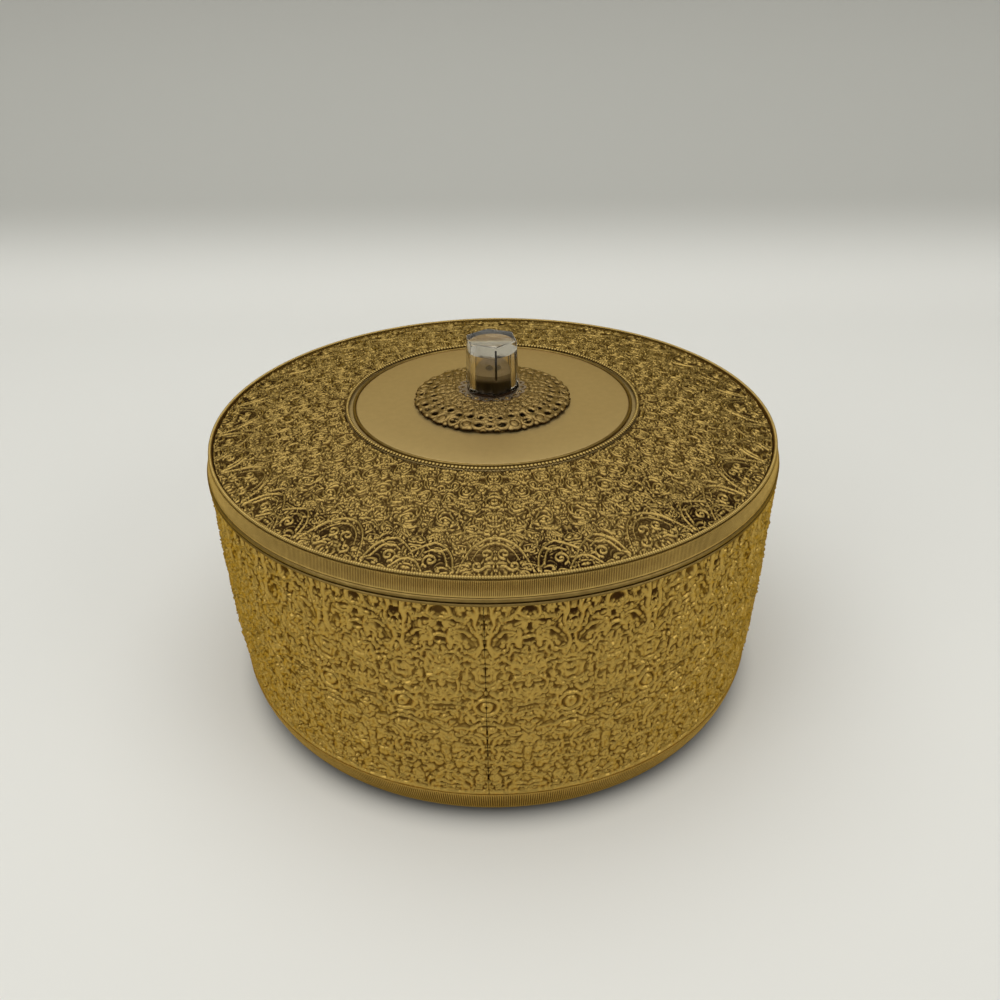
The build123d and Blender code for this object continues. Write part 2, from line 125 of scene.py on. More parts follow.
@dataclass
class Scrollwork:
    """Raised wires on a flat patch in millimetres, read back as a height from 0 to 1."""

    seed: int
    stroke: Stroke
    step: float = 0.16

    def __post_init__(self) -> None:
        """Starts with no wires, pits or plain places."""
        self.rng = np.random.default_rng(self.seed)
        self.points: list[np.ndarray] = []
        self.circles: list[tuple[float, float, float]] = []
        self.motifs: list[tuple[float, float, float]] = []
        self.scrolls: list[tuple[float, float, float, float, float, float]] = []
        self.pits: list[tuple[float, float, float, float, float]] = []

    def wire(self, line: np.ndarray, half_width: float, height: float, taper: float = 0.0) -> None:
        """Adds a raised wire.

        Args:
            line: points along the wire, n by 2.
            half_width: half of the wire's width.
            height: the wire's height, 0 to 1.
            taper: share of the width that is lost towards the far end.
        """
        gaps = np.hypot(*np.diff(line, axis=0).T)
        along = np.concatenate([[0.0], np.cumsum(gaps)])
        count = max(3, int(along[-1] / self.step))
        where = np.linspace(0.0, along[-1], count)
        x = np.interp(where, along, line[:, 0])
        y = np.interp(where, along, line[:, 1])
        share = np.linspace(0.0, 1.0, count)
        width = half_width * (1.0 - taper * share)
        ahead = np.stack([np.gradient(x), np.gradient(y)])
        ahead = ahead / np.maximum(np.hypot(*ahead), 1e-9)
        self.points.append(np.stack([x, y, width, np.full(count, height), ahead[1], -ahead[0]], axis=1))

    def arc(
        self, centre: Pair, radius: float, start: float, sweep: float,
        half_width: float, height: float, taper: float = 0.0, squash: float = 1.0,
    ) -> None:
        """Adds an arc.

        Args:
            centre: the arc's centre.
            radius: the arc's radius.
            start: the angle of its first end, in degrees.
            sweep: how far it turns, in degrees.
            half_width: half of the wire's width.
            height: the wire's height, 0 to 1.
            taper: share of the width that is lost towards the far end.
            squash: flattens the arc along y.
        """
        turn = np.radians(np.linspace(start, start + sweep, 40))
        line = np.stack(
            [centre[0] + radius * np.cos(turn), centre[1] + radius * squash * np.sin(turn)], axis=1
        )
        self.wire(line, half_width, height, taper)

    def sway(self, points: list[Pair], half_width: float, height: float, taper: float = 0.0) -> None:
        """Adds a smooth wire.

        Args:
            points: a few places that the wire goes through.
            half_width: half of the wire's width.
            height: the wire's height, 0 to 1.
            taper: share of the width that is lost towards the far end.
        """
        knots = np.array(points, float)
        padded = np.vstack([2 * knots[0] - knots[1], knots, 2 * knots[-1] - knots[-2]])
        line = []
        for i in range(1, len(padded) - 2):
            t = np.linspace(0.0, 1.0, 14, endpoint=False)[:, None]
            a, b, c, d = padded[i - 1:i + 3]
            line.append(
                0.5 * (2 * b + (c - a) * t + (2 * a - 5 * b + 4 * c - d) * t**2
                       + (3 * b - a - 3 * c + d) * t**3)
            )
        self.wire(np.vstack([*line, knots[-1:]]), half_width, height, taper)

    def spiral(
        self, centre: Pair, radius: float, start: float, turns: float,
        hand: Hand, half_width: float, height: float,
    ) -> None:
        """Adds a spiral that winds inwards.

        Args:
            centre: the spiral's centre.
            radius: the reach of its outer end.
            start: the angle of its outer end, in degrees.
            turns: how often it goes round.
            hand: the way that it winds.
            half_width: half of the wire's width.
            height: the wire's height, 0 to 1.
        """
        share = np.linspace(0.0, 1.0, 90)
        turn = math.radians(start) + hand.value * share * turns * 2 * math.pi
        reach = radius * (1.0 - 0.86 * share**0.9)
        line = np.stack([centre[0] + reach * np.cos(turn), centre[1] + reach * np.sin(turn)], axis=1)
        self.wire(line, half_width, height, 0.25)

    def pit(self, x: float, y: float, width: float, tall: float, depth: float) -> None:
        """Sinks an oval pit."""
        self.pits.append((x, y, width, tall, depth))

    def keep_clear(self, x: float, y: float, radius: float) -> None:
        """Marks a circle that the filling scrolls stay out of."""
        self.circles.append((x, y, radius))
        self.motifs.append((x, y, radius))

    def scroll(
        self, x: float, y: float, radius: float, hand: Hand, start: float = 0.0, level: float = 1.0
    ) -> None:
        """Adds one scroll that fills the room around its centre."""
        self.circles.append((x, y, radius))
        self.scrolls.append((x, y, radius, hand.value, start, level))

    def pack(
        self, corner: Callable[[], Pair], size: Callable[[float, float], float],
        tries: int, spread: Pair,
    ) -> None:
        """Packs scrolls of one class of size into what room is left.

        Args:
            corner: gives a random place on the patch.
            size: the usual scroll radius at a place.
            tries: how many places are tried.
            spread: smallest and largest share of the usual radius.
        """
        for _ in range(tries):
            x, y = corner()
            radius = size(x, y) * self.rng.uniform(*spread)
            start = self.rng.uniform(0.0, 1.0)
            hand = Hand.LEFT if self.rng.random() < 0.5 else Hand.RIGHT
            level = self.rng.uniform(0.72, 1.0)
            if any(math.hypot(x - cx, y - cy) < 0.9 * (radius + r) for cx, cy, r in self.circles):
                continue
            self.scroll(x, y, radius, hand, start, level)

    def strew(
        self, corner: Callable[[], Pair], count: int, radii: Pair,
        half_width: float, levels: Pair,
    ) -> None:
        """Strews short tapering curls over the scrolls, outside the places kept clear for motifs.

        Args:
            corner: gives a random place on the patch.
            count: how many curls are tried.
            radii: smallest and largest bend.
            half_width: half of a curl's width at its thick end.
            levels: smallest and largest height.
        """
        for _ in range(count):
            x, y = corner()
            radius = self.rng.uniform(*radii)
            start = self.rng.uniform(0.0, 360.0)
            sweep = self.rng.uniform(70.0, 170.0) * (1.0 if self.rng.random() < 0.5 else -1.0)
            wide = half_width * self.rng.uniform(0.75, 1.2)
            level = self.rng.uniform(*levels)
            if any(math.hypot(x - cx, y - cy) < 0.9 * r + 0.6 * radius for cx, cy, r in self.motifs):
                continue
            self.arc((x, y), radius, start, sweep, wide, level, 0.75)

    def ground(self, places: np.ndarray) -> np.ndarray:
        """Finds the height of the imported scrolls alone.

        Args:
            places: n by 2 points of the patch.

        Returns:
            n heights, about 0 to 1.
        """
        table = np.array(self.scrolls)
        stroke = self.stroke
        warped = places + stroke.warp * np.stack(
            [smooth_noise(places, 7.0, self.seed + 1), smooth_noise(places, 7.0, self.seed + 2)], axis=1
        )
        warped = warped + 0.22 * stroke.warp * np.stack(
            [smooth_noise(places, 2.4, self.seed + 7), smooth_noise(places, 2.4, self.seed + 8)], axis=1
        )
        across = warped[:, :1] - table[:, 0]
        up = warped[:, 1:2] - table[:, 1]
        lean = 2 * math.pi * table[:, 4]
        across, up = across * np.cos(lean) + up * np.sin(lean), up * np.cos(lean) - across * np.sin(lean)
        up = up / stroke.squash
        away = np.hypot(across, up) * math.sqrt(stroke.squash)
        share = away / table[:, 2]
        two = np.argsort(share, axis=1)[:, :2]
        line = np.arange(len(places))
        own = two[:, 0]
        radius = table[own, 2]
        reach = away[line, own]
        border = 0.5 * radius * (share[line, two[:, 1]] - share[line, own])
        pitch = np.clip(stroke.pitch_share * radius, stroke.least_pitch, stroke.most_pitch)
        turn = np.arctan2(up[line, own], across[line, own]) / (2 * math.pi)
        phase = reach / pitch + table[own, 3] * turn + table[own, 4]
        phase = phase + stroke.swirl * smooth_noise(places, 4.0, self.seed + 3)
        ridge = (0.5 + 0.5 * np.cos(2 * math.pi * phase)) ** stroke.fullness
        part = phase % 1.0
        leaf = np.clip(part / 0.78, 0.0, 1.0) ** 0.7 * np.clip((1.0 - part) / 0.22, 0.0, 1.0) ** 0.6
        ridge = (1.0 - stroke.overlap) * ridge + stroke.overlap * leaf
        ridge = np.maximum(ridge, np.clip(1.2 - (reach / (0.45 * pitch)) ** 2, 0.0, 1.0))
        hoop = stroke.hoop * np.exp(-(((reach - 0.86 * radius) / 0.32) ** 2))
        ridge = np.maximum(ridge, hoop)
        crease = 1.0 - stroke.crease * np.exp(-((border / stroke.crease_width) ** 2))
        dome = 1.0 - stroke.dome * np.clip(share[line, own], 0.0, 1.2) ** 2
        return table[own, 5] * dome * crease * (stroke.base + (1.0 - stroke.base) * ridge)

    def height_at(self, places: np.ndarray) -> np.ndarray:
        """Height of the relief.

        Args:
            places: n by 2 points of the patch.

        Returns:
            n heights, about 0 to 1.
        """
        found = self.ground(places).astype(np.float32)
        wires = np.vstack(self.points).astype(np.float32)
        wires = wires[np.argsort(wires[:, 1])]
        reach = 2.0 * float(wires[:, 2].max())
        rows = np.argsort(places[:, 1])
        for first in range(0, len(rows), 1500):
            chosen = rows[first:first + 1500]
            spot = places[chosen].astype(np.float32)
            low = np.searchsorted(wires[:, 1], spot[:, 1].min() - reach)
            high = np.searchsorted(wires[:, 1], spot[:, 1].max() + reach)
            near = wires[low:high]
            if not len(near):
                continue
            across = (spot[:, :1] - near[:, 0]) / near[:, 2]
            up = (spot[:, 1:2] - near[:, 1]) / near[:, 2]
            share = across**2 + up**2
            side = np.clip(across * near[:, 4] + up * near[:, 5], -1.0, 1.0)
            slope = 1.0 - self.stroke.tilt * (0.5 - 0.5 * side)
            raised = near[:, 3] * slope * np.clip(1.0 - share, 0.0, None) ** self.stroke.fullness
            limit = self.stroke.moat_reach
            moat = np.clip((limit - share.min(axis=1)) / (limit - 1.0), 0.0, self.stroke.moat)
            found[chosen] = np.maximum(raised.max(axis=1), found[chosen] * (1.0 - moat))
        for x, y, width, tall, depth in self.pits:
            away = ((places[:, 0] - x) / width) ** 2 + ((places[:, 1] - y) / tall) ** 2
            found = found * (1.0 - depth * np.exp(-away * away)).astype(np.float32)
        return found


def sharpened(
    relief: np.ndarray, reach: int, gain: float, clean_and_lit: float, lift: float
) -> tuple[np.ndarray, np.ndarray]:
    """Deepens the creases of a relief and finds how clean and how lit each place is painted.

    Args:
        relief: rows by columns heights, the last column the same as the first.
        reach: how many cells away a place's surroundings go.
        gain: how much the creases are deepened.
        clean_and_lit: how clean a level place is, and how lit it is painted, 0 to 1.
        lift: how much cleaner and lighter high places are painted than low ones.

    Returns:
        The deepened relief, and the cleanness: low in creases, pits and low places, partly as patina and
            partly as painted shade, and high on ridges.
    """
    inner = relief[:, :-1]
    count = 2 * reach + 1
    rows = len(inner)
    padded = np.pad(inner, ((reach, reach), (0, 0)), mode="edge")
    soft = sum(padded[i:i + rows] for i in range(count)) / count
    soft = sum(np.roll(soft, i - reach, axis=1) for i in range(count)) / count
    hollow = inner - soft
    deeper = np.clip(inner + gain * hollow, 0.0, 1.0)
    # partly patina and partly painted shade: creases and low places are darkened, ridges lightened
    kept = np.clip(clean_and_lit + 1.5 * hollow + lift * (inner - 0.6), 0.0, 1.0) * np.clip(inner / 0.35, 0.05, 1.0)
    return np.hstack([deeper, deeper[:, :1]]), np.hstack([kept, kept[:, :1]])


def smooth_noise(places: np.ndarray, scale: float, seed: int) -> np.ndarray:
    """Soft rolling noise made of a few waves.

    Args:
        places: n by 2 points in millimetres.
        scale: about the size of a swell.
        seed: picks the waves.

    Returns:
        n values of about -1 to 1.
    """
    rng = np.random.default_rng(seed)
    total = np.zeros(len(places))
    for _ in range(9):
        angle = rng.uniform(0, 2 * math.pi)
        length = scale * rng.uniform(0.7, 1.6)
        phase = rng.uniform(0, 2 * math.pi)
        along = places[:, 0] * math.cos(angle) + places[:, 1] * math.sin(angle)
        total += np.sin(2 * math.pi * along / length + phase)
    return total / 4.0
def at(radius: float, degrees: float) -> Pair:
    """Plan place of a radius and an angle from the y axis."""
    return radius * math.sin(math.radians(degrees)), radius * math.cos(math.radians(degrees))


def mirrored_round(part: np.ndarray, repeats: int) -> np.ndarray:
    """Mirrors half a repeat and sets it round the axis.

    Args:
        part: rows by columns relief, from the motif's axis to the next one.
        repeats: how many repeats go round.

    Returns:
        The relief all the way round, its last column the same as its first.
    """
    pair = np.hstack([part[:, :-1], part[:, :0:-1]])
    return np.hstack([pair] * repeats + [part[:, :1]])


# Meshes


def deselect_all() -> None:
    """Leaves nothing selected, so that an operator acts on the new piece alone."""
    bpy.ops.object.select_all(action="DESELECT")


def take_up(piece: bpy.types.Object) -> None:
    """Makes a piece the only one that operators act on."""
    deselect_all()
    bpy.context.view_layer.objects.active = piece
    piece.select_set(True)


def face_outward(piece: bpy.types.Object) -> None:
    """Turns the faces of a closed piece outwards.

    Args:
        piece: the piece, which stays selected.
    """
    take_up(piece)
    bpy.ops.object.mode_set(mode="EDIT")
    bpy.ops.mesh.select_all(action="SELECT")
    bpy.ops.mesh.normals_make_consistent(inside=False)
    bpy.ops.object.mode_set(mode="OBJECT")


def finish_piece(
    piece: bpy.types.Object, name: str, body: Body, node: str, material: bpy.types.Material
) -> None:
    """Names a finished piece, dresses it and joins it to the frame.

    Args:
        piece: the object to finish.
        name: the piece's name.
        body: the body that it rides on.
        node: the frame's node that it stands for.
        material: the finish.
    """
    piece.name = name
    piece.data.name = name
    piece.data.materials.clear()
    piece.data.materials.append(material)
    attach(piece, body.value)
    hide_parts(node)
    LOG.info("%s: %d faces", name, len(piece.data.polygons))


def around_axis(reach: np.ndarray, turn: np.ndarray, level: np.ndarray) -> np.ndarray:
    """Finds places round the upright axis.

    Args:
        reach: distances from the axis.
        turn: angles, in radians.
        level: heights.

    Returns:
        The places, with x, y and z along a new last axis.
    """
    reach, turn, level = np.broadcast_arrays(reach, turn, level)
    return np.stack([reach * np.cos(turn), reach * np.sin(turn), level], axis=-1)


def keep_relief(piece: bpy.types.Object, values: np.ndarray) -> None:
    """Keeps the relief's height at each corner as an attribute for the finish."""
    level = piece.data.attributes.new("relief", "FLOAT", "POINT")
    level.data.foreach_set("value", values.astype(np.float32).ravel())


def written_mesh(places: np.ndarray, loops: np.ndarray, starts: np.ndarray) -> bpy.types.Object:
    """Writes a mesh directly.

    Args:
        places: n by 3 corners, in millimetres.
        loops: the corner numbers of all faces in a row.
        starts: where each face starts in that row.

    Returns:
        The new object, at the origin.
    """
    mesh = bpy.data.meshes.new("written")
    mesh.vertices.add(len(places))
    mesh.vertices.foreach_set("co", (places * MM).astype(np.float32).ravel())
    mesh.loops.add(len(loops))
    mesh.loops.foreach_set("vertex_index", loops.astype(np.int32))
    mesh.polygons.add(len(starts))
    mesh.polygons.foreach_set("loop_start", starts.astype(np.int32))
    mesh.update(calc_edges=True)
    mesh.validate()
    piece = bpy.data.objects.new("written", mesh)
    bpy.context.scene.collection.objects.link(piece)
    return piece


def mesh_of_rings(places: np.ndarray) -> bpy.types.Object:
    """Makes a mesh that closes both around the axis and around its section.

    Args:
        places: segments by corners by 3, in millimetres.

    Returns:
        The new object, at the origin.
    """
    segments, corners = places.shape[:2]
    around = np.arange(segments)[:, None]
    across = np.arange(corners)[None, :]
    after = (around + 1) % segments
    beside = (across + 1) % corners
    faces = np.stack(
        [
            around * corners + across, after * corners + across,
            after * corners + beside, around * corners + beside,
        ],
        axis=-1,
    ).reshape(-1, 4)
    return written_mesh(places.reshape(-1, 3), faces.ravel(), np.arange(len(faces)) * 4)


def ring_from_profile(
    profile: list[Pair], segments: int,
    shift: Callable[[np.ndarray, int], np.ndarray] | None = None,
) -> bpy.types.Object:
    """Makes a closed ring with the given section.

    Smooth rings start from a torus. Rings with hundreds of reeds or beads have more steps than the
    torus allows, so theirs is written directly.

    Args:
        profile: radius and height of each corner, in millimetres, in order around the section.
        segments: steps around the ring.
        shift: gives, for the angles and a corner's number, what to add to its radius and to its height.

    Returns:
        The new object, at the origin.
    """
    deselect_all()
    angles = np.arange(segments) * 2 * math.pi / segments - math.pi / 2
    places = np.zeros((segments, len(profile), 3))
    for corner, (radius, height) in enumerate(profile):
        more_reach, more_level = shift(angles, corner) if shift is not None else (0.0, 0.0)
        places[:, corner] = around_axis(radius + more_reach, angles, height + more_level)
    if segments <= TORUS_LIMIT:
        bpy.ops.mesh.primitive_torus_add(
            major_segments=segments, minor_segments=len(profile), major_radius=0.1, minor_radius=0.01
        )
        ring = bpy.context.object
        ring.data.vertices.foreach_set("co", (places * MM).ravel())
        ring.data.update()
    else:
        ring = mesh_of_rings(places)
    face_outward(ring)
    bpy.ops.object.shade_smooth_by_angle(angle=math.radians(50.0))
    return ring


def relief_panel(front: np.ndarray, back: np.ndarray, relief: np.ndarray) -> bpy.types.Object:
    """Makes one closed panel of embossed sheet.

    A sheet with this much scrollwork is far past what edit-mode tools can shape, so its mesh is
    written directly: a dense front, a plain back with the same columns, and walls between them.

    Args:
        front: rows by columns by 3 places of the embossed face, in millimetres.
        back: a few rows by the same columns by 3 places of the plain face.
        relief: rows by columns heights, kept as an attribute for the finish.

    Returns:
        The new object, at the origin.
    """
    rows, columns = front.shape[:2]
    back_rows = back.shape[0]
    places = np.vstack([front.reshape(-1, 3), back.reshape(-1, 3)])
    start = rows * columns

    def quads(base: int, count: int, flip: bool) -> np.ndarray:
        """Faces of a grid of rows, turned round for the back."""
        low = base + np.arange(count - 1)[:, None] * columns + np.arange(columns - 1)[None, :]
        corners = np.stack([low, low + 1, low + columns + 1, low + columns], axis=-1).reshape(-1, 4)
        return corners[:, ::-1] if flip else corners

    across = np.arange(columns - 1)
    last = start + (back_rows - 1) * columns
    end = (rows - 1) * columns
    lower = np.stack([across + 1, across, start + across, start + across + 1], axis=1)
    upper = np.stack([end + across, end + across + 1, last + across + 1, last + across], axis=1)
    four = np.vstack([quads(0, rows, False), quads(start, back_rows, True), lower, upper])
    left = [*(np.arange(rows) * columns), *(start + np.arange(back_rows)[::-1] * columns)]
    right = [
        *(start + np.arange(back_rows) * columns + columns - 1),
        *(np.arange(rows)[::-1] * columns + columns - 1),
    ]
    loops = np.concatenate([four.ravel(), left, right])
    starts = np.concatenate([np.arange(len(four)) * 4, [4 * len(four), 4 * len(four) + len(left)]])
    panel = written_mesh(places, loops, starts)
    smooth = np.zeros(len(starts), bool)
    smooth[: (rows - 1) * (columns - 1)] = True
    panel.data.polygons.foreach_set("use_smooth", smooth)
    keep_relief(panel, np.concatenate([relief.ravel(), np.zeros(back_rows * columns)]))
    return panel


@dataclass(frozen=True)
class Panels:
    """How a skin is cut into panels, and what each of them stands for."""

    count: int
    name: str
    body: Body
    node: str
    slot: str

    def build(
        self, front: np.ndarray, back: np.ndarray, relief: np.ndarray, material: bpy.types.Material
    ) -> None:
        """Makes the panels side by side.

        Args:
            front: rows by columns by 3 places of the embossed face, in millimetres.
            back: a few rows by the same columns by 3 places of the plain face.
            relief: rows by columns heights for the finish.
            material: the finish.
        """
        share = (front.shape[1] - 1) // self.count
        for number in range(self.count):
            cut = slice(number * share, (number + 1) * share + 1)
            panel = relief_panel(front[:, cut], back[:, cut], relief[:, cut])
            finish_piece(panel, f"{self.name}_{number + 1}", self.body, self.node, material)


# Shader building


def feed(tree: bpy.types.NodeTree, target: bpy.types.NodeSocket, source: object) -> None:
    """Feeds an input.

    Args:
        tree: the tree that holds the input.
        target: the input.
        source: a socket, which is linked, or a plain value, which is set.
    """
    if isinstance(source, bpy.types.NodeSocket):
        tree.links.new(source, target)
    else:
        target.default_value = source


def node_of(tree: bpy.types.NodeTree, kind: str, **values: object) -> bpy.types.Node:
    """Adds a node.

    Args:
        tree: the tree that it goes into.
        kind: the node's type.
        values: properties of the node or, after "in_", its inputs by number, as values or sockets.

    Returns:
        The node.
    """
    made = tree.nodes.new(kind)
    for key, value in values.items():
        if key.startswith("in_"):
            feed(tree, made.inputs[int(key[3:])], value)
        else:
            setattr(made, key, value)
    return made


def maths(
    tree: bpy.types.NodeTree, operation: str, *values: object, clamp: bool = False
) -> bpy.types.NodeSocket:
    """Adds a Math node.

    Args:
        tree: the tree that it goes into.
        operation: what it works out.
        values: its inputs in order, as values or sockets.
        clamp: whether the result is kept between 0 and 1.

    Returns:
        The result.
    """
    made = node_of(tree, "ShaderNodeMath", operation=operation, use_clamp=clamp)
    for target, value in zip(made.inputs, values):
        feed(tree, target, value)
    return made.outputs[0]


def eased(
    tree: bpy.types.NodeTree, value: object, start: float, stop: float, least: float = 0.0, most: float = 1.0
) -> bpy.types.NodeSocket:
    """Eases from one value to another.

    Args:
        tree: the tree that it goes into.
        value: what the result follows.
        start: the value that gives the least.
        stop: the value that gives the most.
        least: the result at the start.
        most: the result at the stop.

    Returns:
        The result.
    """
    made = node_of(
        tree, "ShaderNodeMapRange", interpolation_type="SMOOTHSTEP",
        in_0=value, in_1=start, in_2=stop, in_3=least, in_4=most,
    )
    return made.outputs[0]


def mixed(
    tree: bpy.types.NodeTree, share: object, under: object, over: object, blend: str = "MIX"
) -> bpy.types.NodeSocket:
    """Mixes two colours.

    Args:
        tree: the tree that it goes into.
        share: how much of the second colour shows.
        under: the first colour.
        over: the second colour.
        blend: how they blend.

    Returns:
        The colour.
    """
    made = node_of(
        tree, "ShaderNodeMix", data_type="RGBA", blend_type=blend, in_0=share, in_6=under, in_7=over
    )
    return made.outputs[2]


def object_place(tree: bpy.types.NodeTree) -> bpy.types.NodeSocket:
    """Adds the place on the object."""
    return node_of(tree, "ShaderNodeTexCoord").outputs["Object"]


def noise(tree: bpy.types.NodeTree, scale: float, detail: float) -> bpy.types.NodeSocket:
    """Adds noise that stays with the object."""
    made = node_of(tree, "ShaderNodeTexNoise", in_0=object_place(tree), in_2=scale, in_3=detail)
    return made.outputs["Fac"]


def height_of(tree: bpy.types.NodeTree) -> bpy.types.NodeSocket:
    """Adds the height over the floor."""
    return node_of(tree, "ShaderNodeSeparateXYZ", in_0=object_place(tree)).outputs["Z"]


def radius_of(tree: bpy.types.NodeTree) -> bpy.types.NodeSocket:
    """Adds the distance from the upright axis.

    Args:
        tree: the tree that it goes into.

    Returns:
        The distance, in metres.
    """
    flat = node_of(
        tree, "ShaderNodeVectorMath", operation="MULTIPLY", in_0=object_place(tree), in_1=(1.0, 1.0, 0.0)
    )
    away = node_of(tree, "ShaderNodeVectorMath", operation="LENGTH", in_0=flat.outputs["Vector"])
    return away.outputs["Value"]


def bumped(tree: bpy.types.NodeTree, height: object, depth: float) -> bpy.types.NodeSocket:
    """Adds a bump.

    Args:
        tree: the tree that it goes into.
        height: what raises it.
        depth: how deep it is, in millimetres.

    Returns:
        The normal.
    """
    bump = node_of(tree, "ShaderNodeBump")
    bump.inputs["Distance"].default_value = depth * MM
    feed(tree, bump.inputs["Height"], height)
    return bump.outputs["Normal"]


def new_material(name: str) -> tuple[bpy.types.Material, bpy.types.NodeTree, bpy.types.bpy_prop_collection]:
    """Starts a material.

    Args:
        name: the material's name.

    Returns:
        The material, its tree and the inputs of its Principled shader.
    """
    material = bpy.data.materials.new(name)
    material.use_nodes = True
    return material, material.node_tree, material.node_tree.nodes["Principled BSDF"].inputs


def aged_gilt_group() -> bpy.types.NodeTree:
    """Builds the shared effect of worn gilding: bright tops, brown recesses, speckle and fine grain. The
    recesses follow the relief attribute, which on the skins and beads also carries painted shade.

    Returns:
        The node group, made once.
    """
    found = bpy.data.node_groups.get("aged_gilt")
    if found:
        return found
    group = bpy.data.node_groups.new("aged_gilt", "ShaderNodeTree")
    for name, kind, way in (
        ("Relief", "Float", "INPUT"), ("Grime", "Float", "INPUT"), ("Top", "Color", "INPUT"),
        ("Ground", "Color", "INPUT"), ("Deep", "Color", "INPUT"), ("Speckle", "Float", "INPUT"),
        ("Roughness", "Float", "INPUT"), ("Color", "Color", "OUTPUT"), ("Rough", "Float", "OUTPUT"),
        ("Grain", "Float", "OUTPUT"),
    ):
        group.interface.new_socket(name=name, in_out=way, socket_type=f"NodeSocket{kind}")
    into = group.nodes.new("NodeGroupInput").outputs
    out = group.nodes.new("NodeGroupOutput").inputs
    fine = noise(group, 1400.0, 3.0)
    body = mixed(group, eased(group, into["Relief"], 0.03, 0.62), into["Ground"], into["Top"])
    low = eased(group, into["Relief"], 0.55, 0.0)
    cloud = eased(group, noise(group, 45.0, 3.0), 0.3, 0.68, 0.25)
    grimy = maths(group, "MULTIPLY", maths(group, "MULTIPLY", low, cloud), into["Grime"], clamp=True)
    dark = mixed(group, grimy, body, into["Deep"])
    dots = node_of(
        group, "ShaderNodeMapRange", in_0=noise(group, 420.0, 2.0), in_1=0.35, in_2=0.75, in_3=1.0, in_4=0.0
    )
    amount = maths(group, "MULTIPLY", dots.outputs[0], into["Speckle"])
    feed(group, out["Color"], mixed(group, amount, dark, (0.55, 0.5, 0.45, 1), "MULTIPLY"))
    rough = maths(group, "MULTIPLY_ADD", grimy, 0.35, into["Roughness"])
    feed(group, out["Rough"], maths(group, "MULTIPLY_ADD", fine, 0.12, rough, clamp=True))
    feed(group, out["Grain"], fine)
    return group


@dataclass(frozen=True)
class DarkeningRange:
    """Where the finish darkens: along a coordinate in millimetres, from none to all."""

    axis: Along
    start: float
    stop: float
    least: float
    most: float


@dataclass(frozen=True)
class Gilding:
    """A gilt finish."""

    name: str
    top: RGB
    ground: RGB
    deep: RGB
    roughness: float
    speckle: float
    darkening: DarkeningRange
    grain: float = 0.05
    from_relief: bool = False
    plain_relief: float = 1.0

    def build(self) -> bpy.types.Material:
        """Makes the material.

        Returns:
            The material.
        """
        material, tree, shader = new_material(self.name)
        shader["Metallic"].default_value = 1.0
        shader["Specular Tint"].default_value = GILT_EDGE_TINT
        gilt = node_of(tree, "ShaderNodeGroup", node_tree=aged_gilt_group())
        for name, tone in (("Top", self.top), ("Ground", self.ground), ("Deep", self.deep)):
            gilt.inputs[name].default_value = (*tone, 1)
        gilt.inputs["Speckle"].default_value = self.speckle
        gilt.inputs["Roughness"].default_value = self.roughness
        gilt.inputs["Relief"].default_value = self.plain_relief
        if self.from_relief:
            level = node_of(tree, "ShaderNodeAttribute", attribute_name="relief")
            feed(tree, gilt.inputs["Relief"], level.outputs["Fac"])
        darkening = self.darkening
        where = height_of(tree) if darkening.axis is Along.HEIGHT else radius_of(tree)
        span = eased(tree, where, darkening.start * MM, darkening.stop * MM, darkening.least, darkening.most)
        feed(tree, gilt.inputs["Grime"], span)
        feed(tree, shader["Base Color"], gilt.outputs["Color"])
        feed(tree, shader["Roughness"], gilt.outputs["Rough"])
        feed(tree, shader["Normal"], bumped(tree, gilt.outputs["Grain"], self.grain))
        return material


@dataclass(frozen=True)
class ClearPlastic:
    """Clear hard plastic with fine scratches and a hollow dulled by haze."""

    name: str
    tint: RGB
    roughness: float
    refraction: float = 1.42
    haze: RGB = (0.35, 0.31, 0.24)
    bore: float = 8.0
    ceiling: float = 128.0
    scuff_depth: float = 0.02
    scuff_roughness: float = 0.12

    def build(self) -> bpy.types.Material:
        """Makes the material.

        Returns:
            The material.
        """
        material, tree, shader = new_material(self.name)
        shader["Base Color"].default_value = (*self.tint, 1)
        shader["Transmission Weight"].default_value = 1.0
        shader["IOR"].default_value = self.refraction
        within = maths(tree, "LESS_THAN", radius_of(tree), self.bore * MM)
        below = maths(tree, "LESS_THAN", height_of(tree), self.ceiling * MM)
        inside = maths(tree, "MULTIPLY", within, below)
        feed(tree, shader["Specular Tint"], mixed(tree, inside, (1, 1, 1, 1), (*self.haze, 1)))
        scuffs = noise(tree, 600.0, 4.0)
        rough = node_of(
            tree, "ShaderNodeMapRange", in_0=scuffs, in_1=0.4, in_2=0.7,
            in_3=self.roughness, in_4=self.roughness + self.scuff_roughness,
        )
        feed(tree, shader["Roughness"], rough.outputs[0])
        feed(tree, shader["Normal"], bumped(tree, scuffs, self.scuff_depth))
        return material


@dataclass(frozen=True)
class Paper:
    """The pale paper of the floor and backdrop, with a painted shadow under the box and painted shade up the
    backdrop; lengths are metres.
    """

    name: str
    floor: RGB
    wall: RGB
    upper: RGB
    # shade, shade_from and shade_to set the painted shadow under the box
    shade: float
    shade_from: float = 0.088
    shade_to: float = 0.108

    def build(self) -> bpy.types.Material:
        """Makes the material.

        Returns:
            The material.
        """
        material, tree, shader = new_material(self.name)
        shader["Roughness"].default_value = 0.9
        shader["Specular IOR Level"].default_value = 0.1
        height = height_of(tree)
        # painted shade: the wall and upper tones are darker than the floor's, standing for less light on the
        # backdrop
        low = mixed(tree, eased(tree, height, 0.0, 0.06), (*self.floor, 1), (*self.wall, 1))
        high = mixed(tree, eased(tree, height, 0.14, 0.3), low, (*self.upper, 1))
        # painted shadow: the paper is darkened in a ring under the box, from shade_from to shade_to
        under = eased(tree, radius_of(tree), self.shade_from, self.shade_to, self.shade)
        feed(tree, shader["Base Color"], mixed(tree, 1.0, high, under, "MULTIPLY"))
        return material


